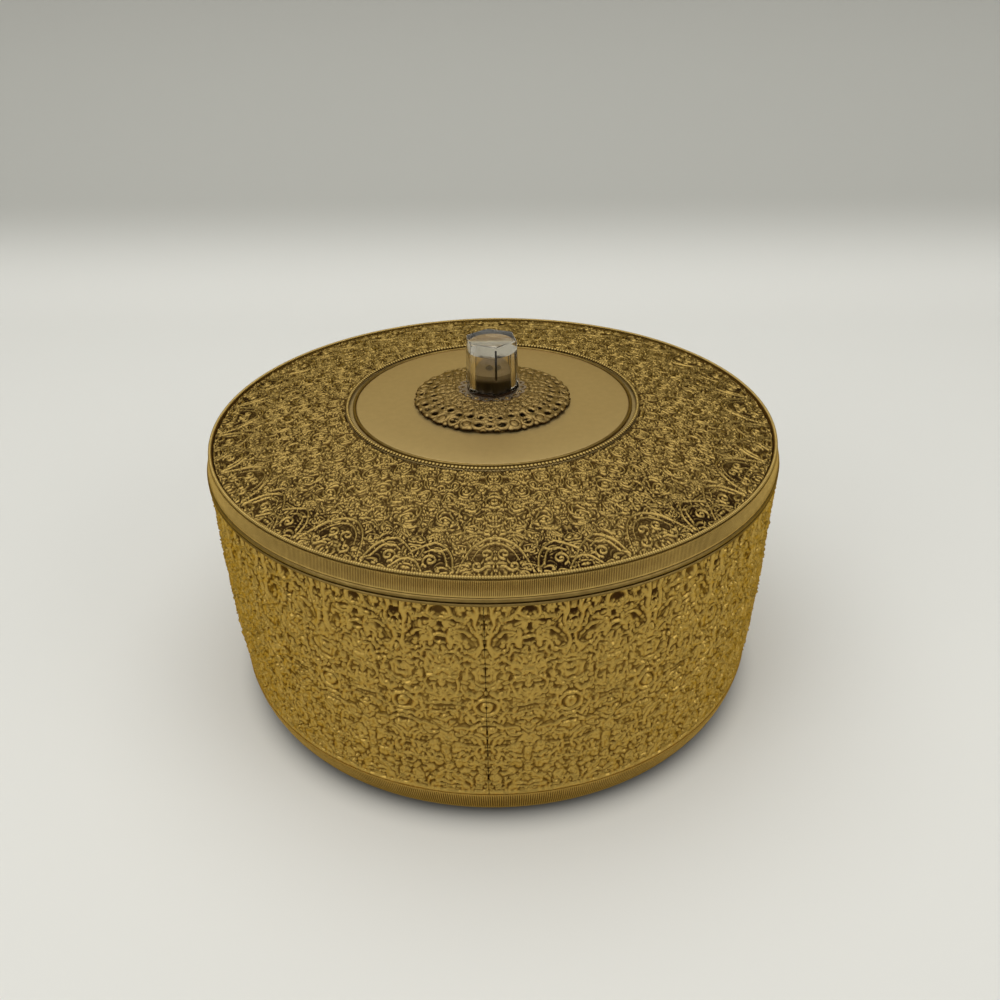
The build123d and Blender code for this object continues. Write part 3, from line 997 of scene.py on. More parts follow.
EVEN = DarkeningRange(Along.HEIGHT, 0.0, 100.0, 0.3, 0.3)
# the wrap darkens towards its top, from 60 to 90 mm up
BODY_GILT = Gilding(
    "embossed_gilt_body", (0.53, 0.352, 0.085), (0.20, 0.115, 0.024), (0.045, 0.018, 0.007),
    0.30, 0.25, DarkeningRange(Along.HEIGHT, 60.0, 90.0, 0.45, 0.95), from_relief=True,
)
LID_GILT = Gilding(
    "embossed_gilt_lid", (0.40, 0.277, 0.083), (0.12, 0.073, 0.021), (0.022, 0.011, 0.006),
    0.36, 0.25, DarkeningRange(Along.RADIUS, 70.0, 99.0, 0.55, 1.0), from_relief=True,
)
OPENWORK_GILT = Gilding(
    "openwork_gilt", (0.33, 0.23, 0.085), (0.09, 0.055, 0.02), (0.03, 0.016, 0.008), 0.4, 0.6,
    DarkeningRange(Along.RADIUS, 0.0, 30.0, 0.9, 0.9), from_relief=True,
)
# darker within 24 mm, meant as painted shade under the rosette; the plain relief of 1 keeps it from showing
DISC_GILT = Gilding(
    "worn_satin_gilt", (0.58, 0.43, 0.185), (0.45, 0.33, 0.15), (0.12, 0.07, 0.03), 0.42, 0.12,
    DarkeningRange(Along.RADIUS, 24.0, 28.5, 1.0, 0.3), 0.02,
)
REED_GILT = Gilding(
    "reeded_gilt", (0.62, 0.43, 0.13), (0.26, 0.165, 0.045), (0.08, 0.045, 0.015),
    0.42, 0.3, DarkeningRange(Along.HEIGHT, 0.0, 100.0, 0.6, 0.6), grain=0.03, from_relief=True,
)
BEAD_GILT = Gilding(
    "beaded_gilt", (0.50, 0.36, 0.12), (0.12, 0.075, 0.022), (0.03, 0.016, 0.008),
    0.38, 0.3, DarkeningRange(Along.HEIGHT, 0.0, 100.0, 0.9, 0.9), grain=0.03, from_relief=True,
)
TRIM_GILT = Gilding(
    "worn_gilt_trim", (0.27, 0.185, 0.058), (0.4, 0.28, 0.1), (0.08, 0.045, 0.02), 0.38, 0.5, EVEN, 0.03
)
INSIDE_GILT = Gilding(
    "plain_gilt_inside", (0.55, 0.42, 0.19), (0.45, 0.33, 0.14), (0.2, 0.13, 0.06), 0.45, 0.2, EVEN, 0.02
)
# painted shade: the foot's gilt is darkened nearly to black to stand for the shade under the box
FOOT_PAINTED_SHADE = Gilding(
    "foot_gilt_painted_shade", (0.10, 0.065, 0.025), (0.2, 0.13, 0.05), (0.06, 0.04, 0.02), 0.55, 0.4, EVEN, 0.03
)
DULL_BRASS = Gilding(
    "tarnished_brass", (0.06, 0.034, 0.018), (0.06, 0.035, 0.02), (0.02, 0.012, 0.008), 0.8, 0.4, EVEN, 0.05
)
# the insert darkens towards its bottom, from 118.6 down to 114.5 mm
PLUG_BRASS = Gilding(
    "plug_brass", (0.42, 0.36, 0.26), (0.40, 0.34, 0.24), (0.025, 0.014, 0.008), 0.7, 0.4,
    DarkeningRange(Along.HEIGHT, 114.5, 118.6, 2.5, 0.0), plain_relief=0.0,
)
LOOP_GILT = Gilding(
    "worn_loops", (0.55, 0.47, 0.36), (0.4, 0.3, 0.2), (0.05, 0.03, 0.02), 0.35, 0.6, EVEN, 0.05
)
STEEL = Gilding(
    "plated_steel", (0.16, 0.15, 0.14), (0.4, 0.4, 0.38), (0.1, 0.09, 0.08), 0.6, 0.2, EVEN, 0.02
)
# painted shade: a near-black finish for the sliver that stands in for the dark refraction line on the knob's
# edge
PAINTED_REFRACTION_LINE = Gilding(
    "dirt_in_edge", (0.012, 0.010, 0.008), (0.01, 0.008, 0.006), (0.01, 0.008, 0.006), 0.8, 0.2, EVEN, 0.01
)
CLEAR = ClearPlastic("clear_plastic", (0.90, 0.84, 0.70), 0.05)
# the last value is the depth of the painted shadow under the box; the wall and upper tones carry painted
# shade
PAPER = Paper("pale_paper", (0.755, 0.755, 0.722), (0.45, 0.45, 0.42), (0.42, 0.415, 0.39), 0.16)


# The box half


@dataclass
class BoxSkin:
    """The embossed wrap, the bands and the beads of the box half."""

    bottom: float = 13.6
    turn: float = 58.0
    top: float = 91.7
    radius: float = 103.2
    foot_radius: float = 101.0
    depth: float = 1.6
    carved_share: float = 0.86
    skin_gap: float = 0.02
    sheet_back: float = 1.6
    seam_gap: float = 0.14
    repeats: int = 25
    columns: int = 39
    rows: int = 216
    panels: int = 5
    seed: int = 11

    def wall(self, height: np.ndarray | float, inset: float) -> np.ndarray:
        """Finds the radius of the wall, which curves in below its turn.

        Args:
            height: one or more heights.
            inset: how far inside the outer skin.

        Returns:
            The radius at each height.
        """
        drop = self.turn - self.bottom
        back = self.radius - self.foot_radius
        curve = (drop**2 + back**2) / (2 * back)
        below = np.maximum(self.turn - height, 0.0)
        return self.radius - curve + np.sqrt((curve - inset) ** 2 - below**2)

    def motif(self) -> Scrollwork:
        """Draws half of one repeat: x from the seam's axis to the next axis, y the height.

        Returns:
            The scrollwork.
        """
        work = Scrollwork(self.seed, PLUMP)
        half = math.pi * self.radius / self.repeats
        eye = 53.3
        # eye boss on the seam's axis, at mid-height, with lids above and below
        work.arc((0.0, eye), 0.9, -90, 180, 1.25, 0.95)
        work.arc((0.0, eye), 3.5, -90, 180, 0.75, 0.85, 0.0, 0.86)
        work.arc((0.0, eye - 2.4), 5.6, 20, 62, 0.5, 0.7, 0.3, 0.9)
        work.arc((0.0, eye - 11.5), 5.0, 30, 60, 0.7, 0.8, 0.4, 0.9)
        work.keep_clear(0.0, eye, 3.9)
        # short bands that flank the seam's axis under the rim
        work.sway([(2.5, 91.6), (2.2, 88.4), (2.9, 85.4), (1.9, 82.2)], 1.05, 0.95, 0.45)
        work.sway([(1.5, 80.6), (1.2, 76.6), (2.6, 73.4)], 0.95, 0.92, 0.4)
        work.keep_clear(2.4, 89.2, 1.2)
        work.keep_clear(1.5, 77.6, 1.0)
        # crescents, a crease and pits on the axis between two eyes
        work.arc((half, 89.6), 2.7, 110, 150, 0.9, 0.95, 0.3)
        work.arc((half, 77.4), 3.1, 90, 95, 0.95, 1.0)
        work.sway([(half, 54.6), (half - 3.4, 54.3), (half - 6.0, 53.6)], 0.62, 0.95, 0.5)
        work.keep_clear(half, 79.0, 2.0)
        for height, wide, tall in ((89.8, 1.5, 1.5), (84.0, 1.0, 1.2), (79.9, 2.0, 0.7), (53.4, 4.2, 0.5)):
            work.pit(half, height, wide, tall, 1.0)
        for height, wide, tall in (
            (87.8, 1.1, 0.8), (84.9, 1.4, 0.55), (68.6, 0.9, 0.8), (65.8, 1.5, 0.6),
            (45.2, 3.2, 0.5), (34.0, 0.9, 0.7), (26.0, 1.0, 0.9),
        ):
            work.pit(0.0, height, wide, tall, 1.0)
        for across, height, wide, tall in (
            (5.6, 88.6, 0.8, 1.3), (8.6, 85.8, 1.7, 0.7), (6.2, 80.4, 0.7, 1.4), (9.4, 74.2, 1.5, 0.6),
            (5.0, 70.4, 1.4, 0.6), (7.6, 64.6, 0.6, 1.3), (4.8, 60.2, 1.5, 0.6), (9.8, 47.6, 1.5, 0.6),
            (6.4, 38.4, 0.6, 1.1), (9.6, 30.2, 1.2, 0.5), (4.6, 24.4, 1.2, 0.5),
        ):
            work.pit(across, height, wide, tall, 0.75)
        for height in (61.5, 39.0, 30.5, 20.5):
            work.scroll(2.4, height, 2.3, Hand.LEFT, 0.2, 0.95)

        def place() -> Pair:
            """A random place of the patch."""
            return work.rng.uniform(-0.8, half + 0.8), work.rng.uniform(self.bottom, self.top)

        def size(_: float, y: float) -> float:
            """Scrolls are larger towards the rim."""
            return 2.0 + 1.7 * max(0.0, (y - self.bottom) / (self.top - self.bottom))

        work.pack(place, size, 900, (1.0, 1.35))
        work.pack(place, size, 2000, (0.62, 0.9))
        work.pack(place, size, 3000, (0.36, 0.5))
        work.strew(place, 80, (1.3, 4.0), 0.95, (0.65, 1.0))
        work.strew(place, 55, (0.7, 1.9), 0.6, (0.7, 1.0))
        return work

    def relief(self) -> tuple[np.ndarray, np.ndarray]:
        """Draws the relief of half a repeat, from the seam's axis to the next axis.

        Returns:
            The rows' heights, and the rows by columns relief.
        """
        half_angle = math.pi / self.repeats
        levels = np.linspace(self.bottom, self.top, self.rows)
        angles = np.linspace(0.0, half_angle, self.columns + 1)
        across, up = np.meshgrid(angles * self.radius, levels)
        places = np.stack([across.ravel(), up.ravel()], axis=1)
        found = self.motif().height_at(places)
        swell = np.clip(0.5 + 0.5 * smooth_noise(places, 9.0, 5), 0, 1)
        found = found * (0.80 + 0.20 * swell)
        low = np.clip((up.ravel() - self.bottom) / 1.2, 0, 1)
        rim = np.clip((self.top - up.ravel()) / 0.5, 0, 1) * low
        found = found * rim + np.where(up.ravel() < self.turn, 0.85, 0.45) * (1.0 - rim)
        return levels, found.reshape(self.rows, self.columns + 1)

    def worn(self, whole: np.ndarray) -> np.ndarray:
        """Stretches and dents the repeated relief a little, so that no two repeats are quite alike.

        Args:
            whole: rows by columns relief of the whole wrap.

        Returns:
            The relief, unchanged along the seam and both edges.
        """
        rows, columns = whole.shape
        wide = 2 * math.pi * self.radius / (columns - 1)
        tall = (self.top - self.bottom) / (rows - 1)
        up, across = np.mgrid[0:rows, 0:columns].astype(float)
        places = np.stack([across.ravel() * wide, up.ravel() * tall], axis=1)
        fade = np.clip(np.minimum(across, columns - 1 - across) / 25.0, 0, 1).ravel()
        fade = fade * np.clip(np.minimum(up, rows - 1 - up) / 8.0, 0, 1).ravel()
        slide = 0.5 * smooth_noise(places, 11.0, 21) + 0.2 * smooth_noise(places, 3.5, 22)
        climb = 0.5 * smooth_noise(places, 11.0, 23) + 0.2 * smooth_noise(places, 3.5, 24)
        column = across.ravel() + fade * slide / wide
        row = up.ravel() + fade * climb / tall
        left = np.clip(column.astype(int), 0, columns - 2)
        low = np.clip(row.astype(int), 0, rows - 2)
        right = np.clip(column - left, 0, 1)
        high = np.clip(row - low, 0, 1)
        found = (1 - high) * ((1 - right) * whole[low, left] + right * whole[low, left + 1])
        found = found + high * ((1 - right) * whole[low + 1, left] + right * whole[low + 1, left + 1])
        dents = 0.10 * smooth_noise(places, 5.0, 25) + 0.09 * smooth_noise(places, 1.5, 26)
        return np.clip(found * (1.0 + fade * dents), 0.0, 1.0).reshape(rows, columns)

    def build_wrap(self, material: bpy.types.Material) -> None:
        """Makes the embossed wrap in a few panels, open at the seam.

        Args:
            material: the finish.
        """
        levels, half = self.relief()
        whole = self.worn(mirrored_round(half, self.repeats))
        # the cleanness, patina and painted shade in the creases, becomes the panels' relief attribute
        whole, clean_and_lit = sharpened(whole, reach=3, gain=0.6, clean_and_lit=0.6, lift=0.15)
        angles = np.linspace(0.0, 2 * math.pi, whole.shape[1])
        lip = self.seam_gap / 2 / self.radius
        angles[0] = lip
        angles[-1] = 2 * math.pi - lip
        angles = angles - math.pi / 2
        sunk = self.depth * (1.0 - whole) * self.carved_share
        reach = self.wall(levels, 0.0)[:, None] - sunk - self.skin_gap
        front = around_axis(reach, angles, levels[:, None])
        fifth = self.rows // 5
        back_levels = np.array([levels[0], levels[fifth], levels[self.rows * 2 // 5], self.turn, levels[-1]])
        back_reach = self.wall(back_levels, self.sheet_back + 0.3)
        back = around_axis(back_reach[:, None], angles, back_levels[:, None])
        cut = Panels(self.panels, "filigree_wrap_panel", Body.BOX, "body_filigree_wrap", "gilt_filigree_body")
        cut.build(front, back, clean_and_lit, material)

    def build_trim(self, trim: bpy.types.Material, reeds: bpy.types.Material) -> None:
        """Makes the top bead and the reeded base band.

        Args:
            trim: the finish of the bead.
            reeds: the finish of the band.
        """
        bead = ring_from_profile(round_section(102.6, 92.3, 0.5, 10), TORUS_LIMIT)
        finish_piece(bead, "top_bead", Body.BOX, "body_top_bead", trim)
        outer = [(101.0, 13.5), (100.75, 11.9), (100.35, 10.0), (99.75, 7.9), (98.95, 5.8), (98.0, 4.05)]
        section = [*outer, (90.0, 4.0), (90.0, 4.8), (97.2, 4.8), (100.2, 13.5)]
        band = reeded_ring(section, 860, range(1, 5), 0.32)
        finish_piece(band, "reeded_base_band", Body.BOX, "base_reeded_band", reeds)

def round_section(radius: float, height: float, size: float, corners: int) -> list[Pair]:
    """Corners of a round wire's section."""
    turns = [2 * math.pi * i / corners for i in range(corners)]
    return [(radius + size * math.cos(t), height - size * math.sin(t)) for t in turns]


def reeded_ring(section: list[Pair], reeds: int, rows: range, depth: float) -> bpy.types.Object:
    """Makes a ring with fine upright reeds.

    Args:
        section: the ring's section.
        reeds: how many reeds go round.
        rows: the corners of the section that carry the reeds.
        depth: how deep the grooves are.

    Returns:
        The ring, with the reeds' height in its relief attribute.
    """
    per_reed = 4
    plain_level = 0.55
    crest_level = 0.75
    narrowing = 1.3

    def shift(angles: np.ndarray, corner: int) -> np.ndarray:
        """Sinks the grooves between the reeds.

        Args:
            angles: the steps round the ring.
            corner: a corner's number.

        Returns:
            What to add to its radius and to its height.
        """
        wave = 0.5 + 0.5 * np.cos((angles + math.pi / 2) * reeds)
        groove = -depth * (1.0 - wave) if corner in rows else np.zeros_like(angles)
        return np.stack([groove, np.zeros_like(angles)])

    ring = ring_from_profile(section, reeds * per_reed, shift)
    values = np.full((reeds * per_reed, len(section)), plain_level)
    angles = np.arange(reeds * per_reed) * 2 * math.pi / (reeds * per_reed)
    for corner in rows:
        values[:, corner] = crest_level * (0.5 + 0.5 * np.cos(angles * reeds)) ** narrowing
    keep_relief(ring, values)
    return ring


@dataclass(frozen=True)
class Beading:
    """A ring of beads run together; contrast is how dark the necks between them are."""

    name: str
    node: str
    radius: float
    height: float
    size: float
    beads: int
    contrast: float
    per_bead: int = 6

    def build(self, material: bpy.types.Material) -> None:
        """Makes the ring. Its relief attribute holds the beads' height, times a painted shade that darkens
        the lower half of each bead.

        Args:
            material: the finish.
        """
        section = round_section(self.radius, self.height, self.size, 8)
        steps = self.beads * self.per_bead

        def shift(angles: np.ndarray, corner: int) -> np.ndarray:
            """Draws the section in between two beads.

            Args:
                angles: the steps round the ring.
                corner: a corner's number.

            Returns:
                What to add to its radius and to its height.
            """
            gap = 1.0 - np.abs(np.cos((angles + math.pi / 2) * self.beads / 2)) ** 0.6
            neck = 0.5 * self.contrast * gap
            across = section[corner][0] - self.radius
            up = section[corner][1] - self.height
            return np.stack([-neck * across, -neck * up])

        ring = ring_from_profile(section, steps, shift)
        angles = np.arange(steps) * 2 * math.pi / steps
        crest = np.abs(np.cos(angles * self.beads / 2)) ** 0.8
        # painted shade: the relief falls towards the bottom of each bead's section, so the beads' undersides
        # are painted darker
        top = np.array([0.5 + 0.5 * (corner[1] - self.height) / self.size for corner in section])
        keep_relief(ring, (self.contrast * crest + 1.0 - self.contrast)[:, None] * top[None, :])
        finish_piece(ring, self.name, Body.LID, self.node, material)


# The lid half


@dataclass
class LidSkin:
    """The embossed cone, the bands, the beading and the disc of the lid half."""

    inner: float = 53.2
    outer: float = 100.3
    inner_height: float = 107.8
    outer_height: float = 100.6
    crown: float = 0.4
    depth: float = 1.2
    carved_share: float = 0.9
    skin_gap: float = 0.02
    repeats: int = 12
    columns: int = 80
    rows: int = 160
    panels: int = 4
    turn: float = 2.0
    seed: int = 23

    def cone(self, radius: np.ndarray) -> np.ndarray:
        """Height of the crowned cone at each radius."""
        along = (radius - self.inner) / (self.outer - self.inner)
        straight = self.inner_height + along * (self.outer_height - self.inner_height)
        return straight + 4 * self.crown * along * (1 - along)

    def motif(self) -> Scrollwork:
        """Draws half of one repeat on the plan of the lid: y along the arch's axis, x to its side.

        Returns:
            The scrollwork.
        """
        work = Scrollwork(self.seed, WIRY)
        half = math.pi / self.repeats
        # arch over curls on the axis, at the rim
        work.sway([at(84.6, 0), at(85.3, 1.8), at(88.2, 3.9), at(92.5, 5.3), at(98.5, 6.3)], 0.5, 1.0, 0.3)
        work.sway([at(86.6, 0), at(87.4, 1.6), at(90.0, 3.2), at(93.5, 4.1)], 0.34, 0.8, 0.3)
        work.spiral(at(91.0, 1.6), 2.0, 90, 1.3, Hand.LEFT, 0.5, 1.0)
        work.spiral(at(95.8, 3.0), 2.2, 200, 1.3, Hand.RIGHT, 0.5, 0.95)
        for radius, angle, room in ((88.5, 1.0, 1.6), (91.0, 1.6, 2.3), (95.8, 3.0, 2.5), (92.0, 4.4, 1.2)):
            x, y = at(radius, angle)
            work.keep_clear(x, y, room)
        # cresting leaves to the arch's side
        leaf = [at(98.5, 7.0), at(92.5, 7.7), at(88.6, 9.6), at(87.6, 11.4), at(89.6, 13.4), at(92.0, 15.0)]
        work.sway(leaf, 0.5, 1.0, 0.3)
        work.sway([at(96.0, 8.2), at(91.6, 9.2), at(90.2, 11.0), at(91.8, 12.8)], 0.45, 0.85, 0.3)
        work.spiral(at(94.6, 11.2), 2.4, 60, 1.5, Hand.RIGHT, 0.5, 1.0)
        work.sway([at(98.8, 12.2), at(95.6, 13.6), at(94.6, 15.0)], 0.5, 0.9)
        for radius, angle, room in ((94.6, 11.2, 2.8), (90.4, 8.9, 1.0), (90.0, 11.6, 1.3), (96.0, 8.0, 1.0)):
            x, y = at(radius, angle)
            work.keep_clear(x, y, room)
        # rosette and ovals further in
        work.arc(at(68.8, 0), 2.6, 0, 360, 0.45, 0.95)
        work.arc(at(68.8, 0), 0.9, 0, 360, 0.6, 1.0)
        work.keep_clear(*at(68.8, 0), 1.8)
        for radius, angle, room in (
            (70.8, 5.4, 3.3), (79.6, 4.6, 3.4), (77.6, 10.6, 3.6), (68.0, 11.4, 3.2), (62.5, 3.4, 2.4)
        ):
            work.scroll(*at(radius, angle), room, Hand.LEFT, 0.3, 1.0)
        work.arc(at(82.3, 1.6), 0.8, 0, 360, 0.45, 0.95)
        work.sway([at(83.4, 1.0), at(82.2, 3.0), at(83.6, 5.2), at(85.8, 6.2)], 0.36, 0.9, 0.4)
        work.sway([at(86.4, 13.0), at(84.6, 11.2), at(82.6, 11.6), at(81.6, 13.6)], 0.36, 0.9, 0.4)

        def place() -> Pair:
            """A random place of the patch."""
            radius = math.sqrt(work.rng.uniform(self.inner**2, self.outer**2))
            angle = work.rng.uniform(-0.01, half + 0.01)
            return radius * math.sin(angle), radius * math.cos(angle)

        def usual(x: float, y: float) -> float:
            """Scrolls are larger towards the rim."""
            return 2.1 + 1.1 * (math.hypot(x, y) - self.inner) / (self.outer - self.inner)

        work.pack(place, usual, 1200, (1.0, 1.3))
        work.pack(place, usual, 2600, (0.62, 0.9))
        work.pack(place, usual, 4000, (0.34, 0.5))
        work.strew(place, 85, (1.4, 4.4), 0.42, (0.85, 1.0))
        work.strew(place, 60, (0.7, 1.6), 0.34, (0.7, 1.0))
        return work

    def build_cone(self, material: bpy.types.Material) -> None:
        """Makes the embossed cone in a few panels.

        Args:
            material: the finish.
        """
        half = math.pi / self.repeats
        radii = np.linspace(self.outer, self.inner, self.rows)
        angles = np.linspace(0.0, half, self.columns + 1)
        turned, reach = np.meshgrid(angles, radii)
        places = np.stack([(reach * np.sin(turned)).ravel(), (reach * np.cos(turned)).ravel()], axis=1)
        found = self.motif().height_at(places)
        swell = np.clip(0.5 + 0.5 * smooth_noise(places, 6.0, 9), 0, 1)
        found = found * (0.70 + 0.26 * swell + 0.05 * smooth_noise(places, 1.1, 8))
        inward = np.clip((reach.ravel() - self.inner) / 0.8, 0.6, 1)
        edge = np.clip((self.outer - reach.ravel()) / 0.6, 0, 1) * inward
        part = (found * edge).reshape(self.rows, self.columns + 1)
        # the cleanness, patina and painted shade in the creases, becomes the panels' relief attribute
        whole, clean_and_lit = sharpened(mirrored_round(part, self.repeats), reach=3, gain=0.4, clean_and_lit=0.46, lift=0.5)
        around = np.linspace(0.0, 2 * math.pi, whole.shape[1]) - math.pi / 2 + math.radians(self.turn)
        level = self.cone(radii)[:, None] - self.depth * self.carved_share * (1.0 - whole) - self.skin_gap
        front = around_axis(radii[:, None], around, level)
        back_radii = np.linspace(self.outer, self.inner, 4)[:, None]
        back = around_axis(back_radii, around, self.cone(back_radii) - self.depth - 0.05)
        cut = Panels(self.panels, "filigree_cone_panel", Body.LID, "lid_filigree_ring", "gilt_filigree_lid")
        cut.build(front, back, clean_and_lit, material)

    def build_trim(
        self, trim: bpy.types.Material, reeds: bpy.types.Material, beads: bpy.types.Material
    ) -> None:
        """Makes the reeded band, the lip, the beadings and the step ring.

        Args:
            trim: the finish of the lip and the step ring.
            reeds: the finish of the band.
            beads: the finish of the beadings.
        """
        outer = [(101.7, 100.0), (101.72, 99.75), (101.78, 99.3), (102.2, 97.4), (102.55, 95.5)]
        section = [*outer, (102.62, 95.15), (102.6, 94.9), (100.95, 94.9), (100.95, 100.0)]
        band = reeded_ring(section, 1240, range(1, 5), 0.24)
        finish_piece(band, "reeded_lid_band", Body.LID, "lid_reeded_band", reeds)
        upper = [(101.0, 94.7), (102.3, 94.7), (102.75, 94.55), (103.03, 94.2)]
        lower = [(103.1, 93.87), (103.03, 93.55), (102.75, 93.2), (102.3, 93.05), (101.0, 93.05)]
        lip = ring_from_profile([*upper, *lower], TORUS_LIMIT)
        finish_piece(lip, "rolled_lip", Body.LID, "lid_rolled_lip", trim)
        Beading("edge_beading", "lid_edge_beading", 101.0, 100.7, 0.6, 800, 0.5).build(beads)
        Beading("disc_beading", "disc_bead_ring", 52.5, 107.5, 0.6, 260, 1.0).build(beads)
        rise = [(49.6, 106.8), (49.6, 107.4), (49.75, 107.68), (50.1, 107.8)]
        step = ring_from_profile([*rise, (50.45, 107.68), (50.6, 107.4), (50.6, 106.8)], TORUS_LIMIT)
        finish_piece(step, "step_ring", Body.LID, "disc_step_ring", trim)

    def build_disc(self, material: bpy.types.Material) -> None:
        """Makes the plain disc with a softly turned-down edge.

        Args:
            material: the finish.
        """
        face = [(2.3, 107.4), (20.0, 107.4), (40.0, 107.4), (48.9, 107.4)]
        edge = [(49.3, 107.34), (49.48, 107.15), (49.48, 106.82), (2.3, 106.82)]
        disc = ring_from_profile([*face, *edge], TORUS_LIMIT)
        finish_piece(disc, "satin_disc", Body.LID, "plain_disc", material)


@dataclass
class Openwork:
    """The rosette and its raised gallery: scrolls pierced through a domed sheet."""

    rim: float = 28.2
    collar: float = 9.1
    edge_height: float = 107.85
    rise: float = 2.9
    relief: float = 0.8
    wave: float = 0.28
    sheet: float = 0.4
    repeats: int = 6
    columns: int = 56
    rows: int = 70
    floor: float = 0.16
    seed: int = 5

    def motif(self) -> Scrollwork:
        """Draws half of one lobe on the plan: rings of loops, each a little unlike its neighbours.

        Returns:
            The scrollwork.
        """
        work = Scrollwork(self.seed, OPEN)
        chance = work.rng.uniform
        half = math.degrees(math.pi / self.repeats)
        for radius, size, wide, tall in (
            (25.4, 1.75, 0.42, 1.0), (21.4, 1.55, 0.36, 0.9), (17.7, 1.25, 0.32, 0.9),
            (14.4, 1.0, 0.3, 0.8), (12.4, 0.6, 0.26, 1.0),
        ):
            for angle in np.arange(0.0, half + 1.0, 10.0):
                slip = chance(-1.6, 1.6) if 0.0 < angle < half else 0.0
                middle = at(radius + 0.06 * size * chance(-6, 6), angle + slip)
                loop = size * chance(0.82, 1.18)
                thick = wide * chance(0.85, 1.3)
                high = tall * chance(0.8, 1.0)
                work.arc(middle, loop, 0, 360, thick, high, 0.0, chance(0.75, 1.1))
                if work.rng.random() < 0.3:
                    work.arc(middle, 0.25 * loop, 0, 360, 0.55 * loop, 0.7)
                between = at(radius - 1.9 + chance(-0.4, 0.4), angle + 5.0 + chance(-1, 1))
                work.arc(between, 0.4, 0, 360, 0.5 * size * chance(0.8, 1.3), 0.85)
                edge = at(radius + 1.9 + chance(-0.3, 0.3), angle + 5.0)
                work.arc(edge, 0.25, 0, 360, 0.42 * size * chance(0.7, 1.3), 0.8)
        work.sway([at(9.4, 0), at(9.4, 0.5 * half), at(9.4, half)], 0.5, 0.9)

        def place() -> Pair:
            """A random place of the patch."""
            return at(chance(13.0, 27.0), chance(0.0, half))

        work.strew(place, 22, (0.6, 1.9), 0.24, (0.7, 1.0))
        work.scroll(*at(18.0, 0.5 * half), 30.0, Hand.LEFT, 0.5, 0.02)
        work.scroll(*at(19.0, 0.5 * half), 30.0, Hand.LEFT, 0.5, 0.02)
        return work

    def build(self, material: bpy.types.Material) -> None:
        """Makes the sheet, pierces the low places and gives it thickness.

        Args:
            material: the finish.
        """
        half = math.pi / self.repeats
        radii = np.linspace(self.rim, self.collar, self.rows)
        turned, reach = np.meshgrid(np.linspace(0.0, half, self.columns + 1), radii)
        places = np.stack([(reach * np.sin(turned)).ravel(), (reach * np.cos(turned)).ravel()], axis=1)
        part = self.motif().height_at(places).reshape(self.rows, self.columns + 1)
        whole = np.hstack([part[:, ::-1], part[:, 1:-1]] * self.repeats)
        total = whole.shape[1]
        around = np.arange(total) * 2 * math.pi / total
        share = (self.rim - radii[:, None]) / (self.rim - self.collar)
        plan = around_axis(radii[:, None], around, 0.0)
        rough = smooth_noise(plan.reshape(-1, 3)[:, :2], 9.0, 3).reshape(self.rows, total)
        dome = self.edge_height + self.rise * np.sin(share * math.pi / 2)
        sheet = around_axis(radii[:, None], around, dome + self.relief * whole + self.wave * rough)
        piece = mesh_of_rings(np.swapaxes(sheet, 0, 1))
        heights = whole.T.ravel()
        keep_relief(piece, heights)
        last = self.rows - 1
        low = [
            bool(face.index % self.rows == last or max(heights[v] for v in face.vertices) < self.floor)
            for face in piece.data.polygons
        ]
        take_up(piece)
        bpy.ops.object.mode_set(mode="EDIT")
        bpy.ops.mesh.select_mode(type="FACE")
        bpy.ops.object.mode_set(mode="OBJECT")
        piece.data.polygons.foreach_set("select", low)
        bpy.ops.object.mode_set(mode="EDIT")
        bpy.ops.mesh.delete(type="FACE")
        bpy.ops.object.mode_set(mode="OBJECT")
        solid = piece.modifiers.new("sheet", "SOLIDIFY")
        solid.thickness = self.sheet * MM
        solid.offset = 1.0
        bpy.ops.object.modifier_apply(modifier="sheet")
        face_outward(piece)
        bpy.ops.object.shade_smooth()
        finish_piece(piece, "openwork_rosette", Body.LID, "rosette", material)


